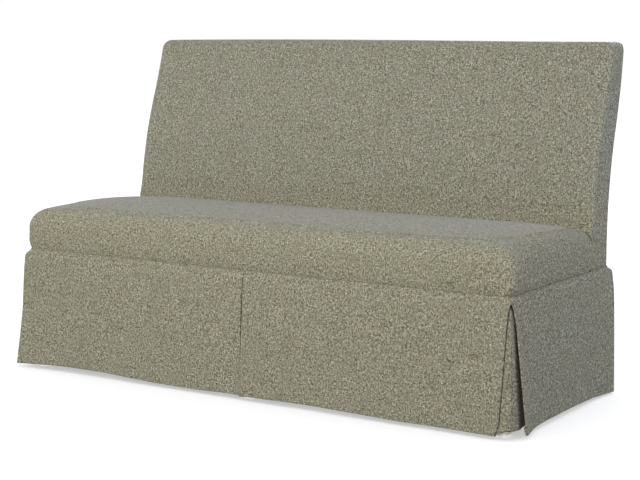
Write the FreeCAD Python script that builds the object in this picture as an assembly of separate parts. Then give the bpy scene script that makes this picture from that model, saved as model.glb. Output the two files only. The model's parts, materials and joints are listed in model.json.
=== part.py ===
"""A skirted dining banquette: hardwood frame, sinuous-spring seat, padded back and a kick-pleat skirt.

Millimetres, +Z up, +X to the right as seen from the front, +Y to the rear. The origin is on the floor, midway
between the two sides and midway between the front hem and the top of the back.
"""

import FreeCAD
import Part
import math
import os

V = FreeCAD.Vector

# Overall size
overall_width = 1620.0  # across the skirt's hem
overall_depth = 728.0  # front hem to the rear of the back's top
overall_height = 965.0

# Seat
seat_height = 485.0  # floor to the seat's crown
seat_front_drop = 9.0  # the seat's front edge, before it is rounded, below the crown
seat_rear_drop = 16.0  # the seat's rear edge below the crown
seat_bulge = 8.0  # how far the padded wall swells out past the seam
seat_edge_round = 50.0
seat_corner_radius = 55.0  # plan radius of the front corners at the widest line
seam_corner_radius = 22.0  # plan radius of the front corners at the skirt's seam

# Back
back_thickness = 110.0  # at seat height
back_corner_round = 20.0
back_edge_round = 16.0
back_rear_round = 3.5
back_lip = 8.0  # how far the outside back's cover turns on to the sides
rear_rake_start = 420.0  # the rear face is upright below this height
rear_rake_turn = 730.0  # height where the rear face leans most
rear_rake_angle = 17.0
rear_top_angle = 5.0
front_rake_turn = 800.0  # height where the front face leans most
front_rake_angle = 20.5
front_top_angle = 14.0

# Skirt
seam_height = 352.0  # top edge of the skirt
hem_clearance = 12.0
skirt_flare = 22.0  # how far the hem stands out from the seam
skirt_bulge = 16.0  # how far the skirt stands out where its bulge ends
skirt_bulge_drop = 60.0  # that place below the seam
pleat_opening = 46.0  # corner of the hem to the edge of each panel
panel_thickness = 1.6
lining_thickness = 0.6
lining_margin = 7.0  # how far the lining stops short of the panel's hem and sides
insert_thickness = 1.2
insert_flare = 12.0  # how far the pleat inserts stand out at their hem
insert_reach = 90.0  # width of a corner insert behind each panel
insert_hem_lift = 4.0
centre_insert_width = 150.0
centre_pleat_gap = 1.0
strip_thickness = 1.0
strip_width = 12.0

# Covers and filling
fit_gap = 0.3  # between soft layers
cover_thickness = 2.0
cover_turn = 30.0  # how far the covers run down behind the skirt
wrap_thickness = 10.0
wrap_turn = 10.0  # how far the seat's wrap runs down over the rails
side_pad_thickness = 3.0
back_foam_thickness = 26.0
burlap_thickness = 1.5
burlap_margin = 5.0
webbing_thickness = 1.5
webbing_width = 50.0
webbing_pitch = 90.0
webbing_margin = 4.0
felt_thickness = 6.0
felt_margin = 8.0
board_thickness = 2.0
back_pad_rise = 30.0  # lower edge of the back's filling above the seat rails

# Frame
rail_rise = 8.0  # top of the seat rails above the skirt's seam
rail_depth = 120.0
rail_thickness = 28.0
leg_size = 48.0
foot_size = 36.0
frame_corner_radius = 12.0
post_width = 40.0
post_foot_depth = 42.0
top_rail_depth = 60.0
lower_rail_depth = 60.0
pull_through_gap = 40.0  # between the seat's rear rail and the back's lower rail
upright_width = 40.0
stretcher_thickness = 28.0
stretcher_depth = 70.0
stretcher_rise = 10.0  # above the rails' lower edge
centre_leg_size = 44.0

# Joinery and feet
dowel_diameter = 10.0
dowel_length = 60.0
dowel_edge = 25.0  # outer dowels to the edge of a seat rail
dowel_step = 15.0  # side rail dowels inside those of the front and rear rails
dowel_gap = 0.05
block_setback = 44.0  # inner corner of the rails to the block's near end
block_contact = 60.0  # length of the block's face on each rail
block_thickness = 25.0
screw_diameter = 4.8
screw_head_diameter = 9.0
screw_head_height = 3.0
screw_grip = 20.0  # wood between the screw's head and the rail
screw_bite = 20.0  # how far the screw enters the rail
screw_gap = 0.1
bolt_diameter = 8.0
bolt_length = 70.0
glide_diameter = 26.0
glide_height = 5.0
glide_round = 1.5
nail_diameter = 2.4
glide_nail_length = 18.0

# Seat suspension
spring_wire = 3.8
spring_pitch = 24.0  # between neighbouring bars
spring_bar = 28.0
spring_spacing = 135.0
spring_rise = 12.0
clip_thickness = 1.6
clip_width = 18.0
clip_plate = 17.0
clip_setback = 8.0  # wire to the rail's inner edge
clip_nail_length = 16.0
nail_head_diameter = 5.5
nail_head_height = 1.0
tie_wire = 3.0

# Dust cover
dust_cover_thickness = 0.8
dust_cover_margin = 6.0
dust_cover_leg_gap = 1.5
tack_spacing = 130.0
tack_diameter = 1.8
tack_head_diameter = 8.0
tack_head_height = 0.9
tack_length = 11.0

# Room for the tools that cut through a solid
overcut = 10.0

# Heights
rail_top = seam_height + rail_rise
rail_bottom = rail_top - rail_depth
cover_bottom = seam_height - cover_turn
wrap_bottom = seam_height - wrap_turn
seat_front_top = seat_height - seat_front_drop
seat_rear_top = seat_height - seat_rear_drop
seat_round_start = seat_front_top - seat_edge_round
back_pad_bottom = rail_top + back_pad_rise
lower_rail_bottom = rail_top + pull_through_gap
lower_rail_top = lower_rail_bottom + lower_rail_depth

# Thickness of the stacks of layers
seat_stack = cover_thickness + wrap_thickness + 2 * fit_gap
rear_stack = cover_thickness + board_thickness + 2 * fit_gap
foam_front = cover_thickness + wrap_thickness + 2 * fit_gap
foam_rear = foam_front + back_foam_thickness
burlap_front = foam_rear + fit_gap
webbing_front = burlap_front + burlap_thickness + fit_gap
post_front = webbing_front + webbing_thickness + fit_gap
insert_front = fit_gap + insert_thickness
insert_bottom = hem_clearance + insert_hem_lift
insert_lean = (insert_flare - insert_front) / (seam_height - insert_bottom)
strip_back = insert_front + insert_lean * strip_width + fit_gap
lining_back = strip_back + strip_thickness + fit_gap
panel_back = lining_back + lining_thickness + fit_gap
panel_front = panel_back + panel_thickness

# Widths and depths
seam_half_width = overall_width / 2 - skirt_flare
frame_half_width = seam_half_width - seat_stack
back_half_width = frame_half_width + side_pad_thickness + cover_thickness + 2 * fit_gap
front_seam_y = -overall_depth / 2 + skirt_flare
frame_front_y = front_seam_y + seat_stack
post_top = overall_height - seat_stack
top_rail_bottom = post_top - top_rail_depth


class Rake:
    """A back profile: upright, then an arc that leans back, then an arc that straightens a little."""

    def __init__(self, start, turn, lean, top_lean):
        """start and turn are heights, lean and top_lean are the angles at the turn and at the top."""
        self.start = start
        self.turn = turn
        self.lean = math.radians(lean)
        self.lower_radius = (turn - start) / math.sin(self.lean)
        sine_drop = math.sin(self.lean) - math.sin(math.radians(top_lean))
        self.upper_radius = (overall_height - turn) / sine_drop
        self.foot_y = 0.0

    def y(self, z):
        """The profile's Y at height z."""
        if z <= self.start:
            return self.foot_y
        if z <= self.turn:
            run = z - self.start
            return self.foot_y + self.lower_radius - math.sqrt(self.lower_radius**2 - run**2)
        angle = math.asin(math.sin(self.lean) - (z - self.turn) / self.upper_radius)
        lower = self.lower_radius * (1 - math.cos(self.lean))
        return self.foot_y + lower + self.upper_radius * (math.cos(angle) - math.cos(self.lean))

    def edges(self, x, shift, low, high):
        """The profile's edges at x between two heights, moved by shift along Y."""
        levels = [low] + [z for z in (self.start, self.turn) if low < z < high] + [high]
        edges = []
        for z0, z1 in zip(levels, levels[1:]):
            ends = [V(x, self.y(z) + shift, z) for z in (z0, (z0 + z1) / 2, z1)]
            straight = z1 <= self.start
            curve = Part.LineSegment(ends[0], ends[2]) if straight else Part.Arc(*ends)
            edges.append(curve.toShape())
        return edges


rear_face = Rake(rear_rake_start, rear_rake_turn, rear_rake_angle, rear_top_angle)
rear_face.foot_y = overall_depth / 2 - rear_face.y(overall_height)
front_face = Rake(rail_top, front_rake_turn, front_rake_angle, front_top_angle)
front_face.foot_y = rear_face.y(seat_height) - back_thickness - front_face.y(seat_height)

seat_rear_y = front_face.foot_y - fit_gap
post_front_y = front_face.foot_y + post_front
post_rear_y = rear_face.foot_y - rear_stack


def line(start, end):
    """A straight edge."""
    return Part.LineSegment(start, end).toShape()


def face_from(edges):
    """The flat face that the edges enclose."""
    return Part.Face(Part.Wire(Part.__sortEdges__(edges)))


def polygon(points):
    """The flat face with these corners."""
    return Part.Face(Part.makePolygon(list(points) + [points[0]]))


def box(x_range, y_range, z_range):
    """An upright block between three pairs of limits."""
    sizes = [high - low for low, high in (x_range, y_range, z_range)]
    return Part.makeBox(*sizes, V(x_range[0], y_range[0], z_range[0]))


def rod(diameter, start, end):
    """A round bar between two points."""
    return Part.makeCylinder(diameter / 2, (end - start).Length, start, end - start)


def mirrored(shape):
    """The same piece on the other side."""
    return shape.mirror(V(0, 0, 0), V(1, 0, 0))


def pair(left_name, right_name, right):
    """The right-hand piece and its mirror image under their two names."""
    return {left_name: mirrored(right), right_name: right}


class Fasteners:
    """Identical fasteners and the holes that they need."""

    def __init__(self):
        self.solids = []
        self.holes = []

    def add(self, solid, hole):
        """Take in one fastener and the tool that cuts its hole."""
        self.solids.append(solid)
        self.holes.append(hole)

    def bore(self, member):
        """The member with the holes of every fastener that reaches it."""
        holes = [hole for hole in self.holes if hole.BoundBox.intersect(member.BoundBox)]
        return member.cut(Part.makeCompound(holes)) if holes else member

    def group(self):
        """All of them as separate solids of one node."""
        return Part.makeCompound(self.solids)


def rounded(shape, radius, chosen):
    """The shape with a fillet on each edge that chosen accepts."""
    return shape.makeFillet(radius, [edge for edge in shape.Edges if chosen(edge)])


def slab(front, rear, z_range, half_width):
    """A piece across the back between two profiles, each given as (profile, shift along Y)."""
    low, high = z_range
    edges = front[0].edges(-half_width, front[1], low, high)
    edges += rear[0].edges(-half_width, rear[1], low, high)
    for z in z_range:
        ends = [V(-half_width, face.y(z) + shift, z) for face, shift in (front, rear)]
        edges.append(line(*ends))
    return face_from(edges).extrude(V(2 * half_width, 0, 0))


def back_block(inset, rear_inset, bottom):
    """The whole outer shape of the back, drawn in by inset, with its corners and then its edges rounded."""
    half = back_half_width - inset
    top = overall_height - inset
    block = slab((front_face, inset), (rear_face, -rear_inset), (bottom, top), half)
    rim = fit_gap / 2

    def along(edge, face, shift):
        ends = (edge.FirstParameter, edge.LastParameter)
        points = [edge.valueAt(ends[0] + share * (ends[1] - ends[0])) for share in (0, 0.5, 1)]
        if any(abs(point.y - face.y(point.z) - shift) > rim for point in points):
            return False
        return edge.BoundBox.ZLength > rim or points[0].z > top - rim

    def top_corner(edge):
        return edge.BoundBox.XLength < rim and edge.BoundBox.ZMin > top - rim

    def front_edge(edge):
        return along(edge, front_face, inset)

    def rear_edge(edge):
        return along(edge, rear_face, -rear_inset)

    block = rounded(block, back_corner_round - inset, top_corner)
    block = rounded(block, back_edge_round - inset, front_edge)
    return rounded(block, max(back_rear_round - inset, fit_gap), rear_edge)


def back_covers():
    """The fabric shell of the back, parted along a line just inside its rear edge."""
    inside = back_block(cover_thickness, cover_thickness, cover_bottom - overcut)
    shell = back_block(0, 0, cover_bottom).cut(inside)
    reach = back_half_width + overcut
    heights = (cover_bottom - overcut, overall_height + overcut)
    rear_zone = slab((rear_face, -back_lip), (rear_face, overcut), heights, reach)
    wall_y = (front_face.foot_y - overcut, front_face.foot_y + back_edge_round)
    inner = back_half_width - cover_thickness
    narrow = back_half_width - 2 * back_edge_round
    at_rails = box((-inner, inner), wall_y, (cover_bottom - overcut, rail_top + fit_gap))
    pull_through = box((-narrow, narrow), wall_y, (rail_top, back_pad_bottom))
    return {
        "inside_back_cover": shell.cut(rear_zone).cut([at_rails, pull_through]),
        "outside_back_cover": shell.common(rear_zone),
    }


def back_filling():
    """Layers of the back from the wrap under the cover to the board behind the frame."""
    inset = cover_thickness + fit_gap
    heights = (back_pad_bottom, post_top)
    wrap = back_block(inset, rear_stack, back_pad_bottom)
    hollow_top = overall_height - inset - wrap_thickness
    reach = back_half_width + overcut
    hollow = slab(
        (front_face, inset + wrap_thickness),
        (rear_face, overcut),
        (back_pad_bottom - overcut, hollow_top),
        reach,
    )
    pad_half = side_pad_thickness / 2
    pad_inset = max(back_corner_round, seat_stack) + fit_gap
    pad_heights = (wrap_bottom, overall_height - pad_inset)
    pad = slab((front_face, pad_inset), (rear_face, -rear_stack), pad_heights, pad_half)
    pad.translate(V(frame_half_width + fit_gap + pad_half, 0, 0))
    burlap_half = frame_half_width - burlap_margin
    strips = []
    span = top_rail_bottom - lower_rail_top - webbing_width
    count = max(2, round(span / webbing_pitch) + 1)
    for index in range(count):
        low = lower_rail_top + span * index / (count - 1)
        front = (front_face, webbing_front)
        rear = (front_face, webbing_front + webbing_thickness)
        strips.append(slab(front, rear, (low, low + webbing_width), frame_half_width - webbing_margin))
    pieces = {
        "back_wrap": wrap.cut(hollow),
        "back_foam": slab((front_face, foam_front), (front_face, foam_rear), heights, frame_half_width),
        "back_burlap": slab(
            (front_face, burlap_front), (front_face, burlap_front + burlap_thickness), heights, burlap_half
        ),
        "back_webbing": Part.makeCompound(strips),
        "outside_back_board": slab(
            (rear_face, -rear_stack + fit_gap),
            (rear_face, -rear_stack + fit_gap + board_thickness),
            (rail_top, post_top),
            frame_half_width,
        ),
    }
    pieces.update(pair("left_side_pad", "right_side_pad", pad))
    return pieces


def seat_plan(half_width, front_y, rear_y, radius, z):
    """The seat's outline at one height, with round front corners."""
    points = [
        V(-half_width, rear_y, z),
        V(-half_width, front_y + radius, z),
        V(-half_width + radius, front_y, z),
        V(half_width - radius, front_y, z),
        V(half_width, front_y + radius, z),
        V(half_width, rear_y, z),
    ]
    bend = radius * (1 - math.sqrt(0.5))
    left_bend = V(-half_width + bend, front_y + bend, z)
    right_bend = V(half_width - bend, front_y + bend, z)
    edges = [
        line(points[0], points[1]),
        Part.Arc(points[1], left_bend, points[2]).toShape(),
        line(points[2], points[3]),
        Part.Arc(points[3], right_bend, points[4]).toShape(),
        line(points[4], points[5]),
        line(points[5], points[0]),
    ]
    return Part.Wire(edges)


def seat_block(inset, rear_y, bottom):
    """The padded seat's whole outer shape, drawn in by inset: upright, then swelling, then crowned."""
    seam_half = seam_half_width - inset
    wide_half = seam_half + seat_bulge
    seam_y = front_seam_y + inset
    wide_y = seam_y - seat_bulge
    seam_radius = max(seam_corner_radius - inset, fit_gap)
    wide_radius = max(seat_corner_radius - inset, fit_gap)
    wide_z = (seam_height + 3 * seat_round_start) / 4
    low = Part.Face(seat_plan(seam_half, seam_y, rear_y, seam_radius, bottom))
    low = low.extrude(V(0, 0, seam_height - bottom))
    swell = Part.makeLoft(
        [
            seat_plan(seam_half, seam_y, rear_y, seam_radius, seam_height),
            seat_plan(wide_half, wide_y, rear_y, wide_radius, wide_z),
        ],
        True,
        True,
    )
    high = Part.Face(seat_plan(wide_half, wide_y, rear_y, wide_radius, wide_z))
    high = high.extrude(V(0, 0, seat_height + overcut - wide_z))
    high = high.common(crown_tool(inset, wide_half, wide_y, rear_y, wide_z))
    rim = fit_gap / 2

    def top_edge(edge):
        if edge.BoundBox.ZMin < seat_round_start or edge.BoundBox.YMin > rear_y - rim:
            return False
        return edge.CenterOfMass.z > seat_round_start + seat_edge_round / 2 - inset

    edge_round = min(max(seat_edge_round - inset, fit_gap), wide_radius - fit_gap)
    high = rounded(high, edge_round, top_edge)
    return low.fuse([swell, high]).removeSplitter()


def crown_tool(inset, half_width, front_y, rear_y, bottom):
    """The space under the seat's crowned top, which runs past the seat on every side."""
    x = -half_width - overcut
    low = bottom - overcut
    front = V(x, front_y - overcut, seat_front_top - inset)
    rear = V(x, rear_y + overcut, seat_rear_top - inset)
    crown = V(x, (front_y + rear_y) / 2, seat_height - inset)
    corners = [rear, V(x, rear.y, low), V(x, front.y, low), front]
    edges = [line(start, end) for start, end in zip(corners, corners[1:])]
    edges.append(Part.Arc(front, crown, rear).toShape())
    return face_from(edges).extrude(V(-2 * x, 0, 0))


class SpringArch:
    """The shallow arch that the seat's springs follow from the front rail to the rear rail."""

    def __init__(self):
        self.front_y = frame_front_y + rail_thickness - clip_setback
        self.rear_y = post_front_y + clip_setback
        self.end_z = rail_top + clip_thickness + fit_gap + spring_wire / 2
        half_chord = (self.rear_y - self.front_y) / 2
        self.middle_y = (self.front_y + self.rear_y) / 2
        self.radius = (half_chord**2 + spring_rise**2) / (2 * spring_rise)
        self.half_angle = math.asin(half_chord / self.radius)

    def z(self, y, above=0.0):
        """Height of the arch over y, or of a layer that lies above it."""
        centre_z = self.end_z + spring_rise - self.radius
        return centre_z + math.sqrt((self.radius + above) ** 2 - (y - self.middle_y) ** 2)

    def bars(self):
        """The (y, z) places of the spring's cross bars."""
        count = max(2, round(2 * self.half_angle * self.radius / spring_pitch))
        angles = [self.half_angle * (2 * index / count - 1) for index in range(count + 1)]
        ys = [self.middle_y + self.radius * math.sin(angle) for angle in angles]
        return [(y, self.z(y)) for y in ys]

    def layer(self, y_range, above, top, half_width):
        """A sheet that follows the arch, between two distances above it or up to a flat height."""
        x = -half_width
        y0, y1 = y_range
        middle = (y0 + y1) / 2
        low = [V(x, y, self.z(y, above)) for y in (y0, middle, y1)]
        edges = [Part.Arc(*low).toShape()]
        if top is None:
            high = [V(x, y, rail_bottom) for y in (y0, y1)]
            edges.append(line(*high))
        else:
            arc = [V(x, y, self.z(y, top)) for y in (y0, middle, y1)]
            edges.append(Part.Arc(*arc).toShape())
            high = [arc[0], arc[2]]
        edges += [line(low[0], high[0]), line(low[2], high[1])]
        return face_from(edges).extrude(V(2 * half_width, 0, 0))


arch = SpringArch()
felt_low = spring_wire / 2 + fit_gap
felt_high = felt_low + felt_thickness


def seat_pieces():
    """The seat's cover and filling."""
    cover = seat_block(0, seat_rear_y, cover_bottom)
    cover = cover.cut(seat_block(cover_thickness, seat_rear_y - cover_thickness, cover_bottom - overcut))
    reach = seam_half_width - cover_thickness
    rear_wall = (seat_rear_y - cover_thickness - fit_gap, seat_rear_y + overcut)
    cover = cover.cut(box((-reach, reach), rear_wall, (cover_bottom - overcut, back_pad_bottom)))
    inset = cover_thickness + fit_gap
    wrap = seat_block(inset, seat_rear_y - inset, wrap_bottom)
    wrap = wrap.cut(seat_block(inset + wrap_thickness, seat_rear_y + overcut, wrap_bottom - overcut))
    foam = seat_block(seat_stack, seat_rear_y - inset, wrap_bottom)
    reach = seam_half_width + overcut
    below = (front_seam_y - seat_bulge - overcut, seat_rear_y + overcut)
    foam = foam.cut(arch.layer(below, felt_high + fit_gap, None, reach))
    felt_half = frame_half_width - rail_thickness - felt_margin
    felt_y = (arch.front_y + felt_margin, seat_rear_y - felt_margin)
    return {
        "seat_cover": cover,
        "seat_wrap": wrap,
        "seat_foam": foam,
        "seat_insulator": arch.layer(felt_y, felt_low, felt_high, felt_half),
    }


def spring_places():
    """X of each seat spring, evenly spread between the side rails."""
    clear = 2 * (frame_half_width - rail_thickness)
    count = max(2, round(clear / spring_spacing))
    return [clear * ((index + 0.5) / count - 0.5) for index in range(count)]


def zigzag_spring():
    """One sinuous spring on the middle line: cross bars joined by half-round bends."""
    bars = arch.bars()
    edges = []
    side = 1
    for index, (y, z) in enumerate(bars):
        start = V(-side * spring_bar / 2, y, z)
        end = V(side * spring_bar / 2, y, z)
        edges.append(line(start, end))
        if index + 1 < len(bars):
            following = V(end.x, *bars[index + 1])
            bend = (end + following) * 0.5 + V(side * (following - end).Length / 2, 0, 0)
            edges.append(Part.Arc(end, bend, following).toShape())
        side = -side
    first = bars[0]
    section = Part.makeCircle(spring_wire / 2, V(-spring_bar / 2, *first), V(1, 0, 0))
    return Part.Wire(edges).makePipeShell([Part.Wire(section)], True, False)


def spring_clip(y, outward):
    """One clip on a rail: a loop round the spring's end bar and a plate nailed on, outward along Y."""
    loop = spring_wire + 2 * fit_gap
    ends = [V(side * clip_width / 2, y, arch.end_z) for side in (-1, 1)]
    y_range = sorted((y, y + outward * clip_plate))
    plate = box((-clip_width / 2, clip_width / 2), y_range, (rail_top, rail_top + clip_thickness))
    return plate.fuse(rod(loop + 2 * clip_thickness, *ends)).cut(rod(loop, *ends)).removeSplitter()


def nail(head_diameter, head_height, diameter, length, under_head, direction):
    """A nail or screw with a flat head, from the underside of its head along direction."""
    shank = rod(diameter, under_head, under_head + direction * length)
    return shank.fuse(rod(head_diameter, under_head - direction * head_height, under_head)).removeSplitter()


def nail_hole(diameter, gap, under_head, direction, length):
    """The hole for a shank, a little wider and deeper than it."""
    return rod(diameter + 2 * gap, under_head, under_head + direction * (length + gap))


def suspension(nails):
    """The seat's springs with their clips and tie wires; nails takes the clip nails."""
    down = V(0, 0, -1)
    spring = zigzag_spring()
    springs = []
    clips = []
    for x in spring_places():
        springs.append(spring.translated(V(x, 0, 0)))
        for y, outward in ((arch.front_y, -1), (arch.rear_y, 1)):
            clip = spring_clip(y, outward).translated(V(x, 0, 0))
            nail_y = y + outward * (clip_plate + spring_wire) / 2
            head = V(x, nail_y, rail_top + clip_thickness)
            nails.add(
                nail(nail_head_diameter, nail_head_height, nail_diameter, clip_nail_length, head, down),
                nail_hole(nail_diameter, screw_gap, head, down, clip_nail_length),
            )
            clips.append(nails.bore(clip))
    bars = arch.bars()
    third = len(bars) // 3
    places = spring_places()
    reach = (spring_bar + spring_pitch) / 2
    ties = []
    for y, z in (bars[third], bars[-1 - third]):
        height = z - (spring_wire + tie_wire) / 2 - fit_gap
        ties.append(rod(tie_wire, V(places[0] - reach, y, height), V(places[-1] + reach, y, height)))
    return {
        "seat_springs": Part.makeCompound(springs),
        "spring_clips": Part.makeCompound(clips),
        "spring_tie_wires": Part.makeCompound(ties),
    }


def tapered_foot(x_range, y_range, foot_x, foot_y):
    """The part of a leg below the rails, between its section there and its foot."""
    sections = []
    for xs, ys, z in ((x_range, y_range, rail_bottom), (foot_x, foot_y, glide_height)):
        points = [V(xs[0], ys[0], z), V(xs[1], ys[0], z), V(xs[1], ys[1], z), V(xs[0], ys[1], z)]
        sections.append(Part.makePolygon(points + [points[0]]))
    return Part.makeLoft(sections, True, True)


def front_leg():
    """The right front leg: a square post up to the rails' top, tapered on its inner faces below them."""
    x_range = (frame_half_width - leg_size, frame_half_width)
    y_range = (frame_front_y, frame_front_y + leg_size)
    post = box(x_range, y_range, (rail_bottom, rail_top))
    foot_x = (frame_half_width - foot_size, frame_half_width)
    foot_y = (frame_front_y, frame_front_y + foot_size)
    leg = post.fuse(tapered_foot(x_range, y_range, foot_x, foot_y)).removeSplitter()
    rim = fit_gap / 2

    def outer_corner(edge):
        centre = edge.CenterOfMass
        return abs(centre.x - frame_half_width) < rim and abs(centre.y - frame_front_y) < rim

    return rounded(leg, frame_corner_radius, outer_corner)


def back_post():
    """The right back post, one piece from its foot to the back's top."""
    upper = slab((front_face, post_front), (rear_face, -rear_stack), (rail_bottom, post_top), post_width / 2)
    upper.translate(V(frame_half_width - post_width / 2, 0, 0))
    x_range = (frame_half_width - post_width, frame_half_width)
    foot_y = (post_rear_y - post_foot_depth, post_rear_y)
    lower = tapered_foot(x_range, (post_front_y, post_rear_y), x_range, foot_y)
    return upper.fuse(lower).removeSplitter()


def centre_leg(y):
    """A short leg under the middle of a long rail."""
    half = centre_leg_size / 2
    foot = foot_size / 2
    return tapered_foot((-half, half), (y - half, y + half), (-foot, foot), (y - foot, y + foot))


front_rail_y = frame_front_y + rail_thickness / 2
rear_rail_y = post_front_y + rail_thickness / 2
upright_x = (frame_half_width - post_width) / 3
stretcher_bottom = rail_bottom + stretcher_rise
stretcher_top = stretcher_bottom + stretcher_depth


def frame_members():
    """The hardwood members before any hole is bored."""
    front_half = frame_half_width - leg_size
    rear_half = frame_half_width - post_width
    rail_z = (rail_bottom, rail_top)
    side_x = (frame_half_width - rail_thickness, frame_half_width)
    rear_y = (post_front_y, post_front_y + rail_thickness)
    front = (front_face, post_front)
    inner = (front_face, post_front + rail_thickness)
    rear = (rear_face, -rear_stack)
    upright = slab(front, rear, (lower_rail_top, top_rail_bottom), upright_width / 2)
    upright.translate(V(upright_x, 0, 0))
    stretcher_x = (upright_x - stretcher_thickness / 2, upright_x + stretcher_thickness / 2)
    stretcher_y = (frame_front_y + rail_thickness, post_front_y)
    members = {
        "front_rail": box((-front_half, front_half), (frame_front_y, frame_front_y + rail_thickness), rail_z),
        "rear_rail": box((-rear_half, rear_half), rear_y, rail_z),
        "back_top_rail": slab(front, rear, (top_rail_bottom, post_top), rear_half),
        "back_lower_rail": slab(front, inner, (lower_rail_bottom, lower_rail_top), rear_half),
        "front_centre_leg": centre_leg(front_rail_y),
        "rear_centre_leg": centre_leg(rear_rail_y),
    }
    side_rail = box(side_x, (frame_front_y + leg_size, post_front_y), rail_z)
    stretcher = box(stretcher_x, stretcher_y, (stretcher_bottom, stretcher_top))
    members.update(pair("left_rail", "right_rail", side_rail))
    members.update(pair("front_left_leg", "front_right_leg", front_leg()))
    members.update(pair("left_back_post", "right_back_post", back_post()))
    members.update(pair("left_back_upright", "right_back_upright", upright))
    members.update(pair("left_stretcher", "right_stretcher", stretcher))
    return members


def frame_dowels():
    """Two dowels in each joint of the frame."""
    along_x = V(1, 0, 0)
    along_y = V(0, 1, 0)
    along_z = V(0, 0, 1)
    outer_z = (rail_bottom + dowel_edge, rail_top - dowel_edge)
    side_z = (outer_z[0] + dowel_step, outer_z[1] - dowel_step)
    top_z = [top_rail_bottom + top_rail_depth * share for share in (1 / 3, 2 / 3)]
    lower_z = [lower_rail_bottom + lower_rail_depth * share for share in (1 / 4, 3 / 4)]
    cross_z = [stretcher_bottom + stretcher_depth * share for share in (1 / 4, 3 / 4)]
    upright_xs = [upright_x + upright_width * share for share in (-1 / 4, 1 / 4)]
    side_x = frame_half_width - rail_thickness / 2
    places = []
    for z in outer_z:
        places.append((V(frame_half_width - leg_size, front_rail_y, z), along_x))
        places.append((V(frame_half_width - post_width, rear_rail_y, z), along_x))
    for z in side_z:
        places.append((V(side_x, frame_front_y + leg_size, z), along_y))
        places.append((V(side_x, post_front_y, z), along_y))
    for z in top_z:
        places.append((V(frame_half_width - post_width, back_middle_y(z), z), along_x))
    for z in lower_z:
        y = front_face.y(z) + post_front + rail_thickness / 2
        places.append((V(frame_half_width - post_width, y, z), along_x))
    for x in upright_xs:
        y = front_face.y(lower_rail_top) + post_front + rail_thickness / 2
        places.append((V(x, y, lower_rail_top), along_z))
        places.append((V(x, back_middle_y(top_rail_bottom), top_rail_bottom), along_z))
    for z in cross_z:
        places.append((V(upright_x, frame_front_y + rail_thickness, z), along_y))
        places.append((V(upright_x, post_front_y, z), along_y))
    dowels = Fasteners()
    for joint, axis in places:
        half = reach_into(axis)
        dowel = rod(dowel_diameter, joint - axis * half, joint + axis * half)
        bore_half = half + dowel_gap
        bore = rod(dowel_diameter + 2 * dowel_gap, joint - axis * bore_half, joint + axis * bore_half)
        dowels.add(dowel, bore)
        dowels.add(mirrored(dowel), mirrored(bore))
    return dowels


def reach_into(axis):
    """How far a dowel enters each member; less along Y, where it would come out of the rail's far face."""
    return min(dowel_length / 2, 0.75 * rail_thickness) if axis.y else dowel_length / 2


def back_middle_y(z):
    """The middle of the back frame's depth at height z."""
    return (front_face.y(z) + post_front + rear_face.y(z) - rear_stack) / 2


def corner_bracing():
    """The blocks across the rails' inner corners, and the screws that hold them."""
    inner_x = frame_half_width - rail_thickness
    z = (rail_bottom + rail_top) / 2
    far = block_setback + block_contact
    middle = block_setback + block_contact / 2
    blocks = []
    screws = Fasteners()
    for side in (-1, 1):
        for corner_y, inward in ((frame_front_y + rail_thickness, 1), (post_front_y, -1)):
            corner = V(side * inner_x, corner_y, z)
            along_x = V(-side, 0, 0)
            along_y = V(0, inward, 0)
            low = corner - V(0, 0, block_thickness / 2)
            ends = ((along_y, block_setback), (along_y, far), (along_x, far), (along_x, block_setback))
            block = polygon([low + axis * run for axis, run in ends]).extrude(V(0, 0, block_thickness))
            for rail, across in ((along_y, along_x), (along_x, along_y)):
                head = corner + rail * middle + across * screw_grip
                length = screw_grip + screw_bite
                screw = nail(screw_head_diameter, screw_head_height, screw_diameter, length, head, -across)
                sink = rod(screw_head_diameter + 2 * screw_gap, head, head + across * far)
                hole = nail_hole(screw_diameter, screw_gap, head, -across, length)
                screws.add(screw, hole.fuse(sink))
            blocks.append(block)
    return blocks, screws


def leg_bolts():
    """The bolts that join the two centre legs to their rails."""
    bolts = Fasteners()
    for y in (front_rail_y, rear_rail_y):
        ends = [V(0, y, rail_bottom + side * bolt_length / 2) for side in (-1, 1)]
        stretch = V(0, 0, screw_gap)
        hole = rod(bolt_diameter + 2 * screw_gap, ends[0] - stretch, ends[1] + stretch)
        bolts.add(rod(bolt_diameter, *ends), hole)
    return bolts


def glide_places():
    """The middle of each foot on the floor."""
    front_x = frame_half_width - foot_size / 2
    front_y = frame_front_y + foot_size / 2
    rear_x = frame_half_width - post_width / 2
    rear_y = post_rear_y - post_foot_depth / 2
    corners = [V(side * x, y, 0) for x, y in ((front_x, front_y), (rear_x, rear_y)) for side in (-1, 1)]
    return corners + [V(0, front_rail_y, 0), V(0, rear_rail_y, 0)]


def floor_glides():
    """A nail-on glide under each foot."""
    glides = Fasteners()
    up = V(0, 0, 1)
    for place in glide_places():
        disc = Part.makeCylinder(glide_diameter / 2, glide_height, place)
        disc = rounded(disc, glide_round, lambda edge: edge.BoundBox.ZMax < glide_round)
        seat = place + up * glide_height
        shank = rod(nail_diameter, seat, seat + up * glide_nail_length)
        hole = nail_hole(nail_diameter, screw_gap, seat, up, glide_nail_length)
        glides.add(disc.fuse(shank).removeSplitter(), hole)
    return glides


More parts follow.
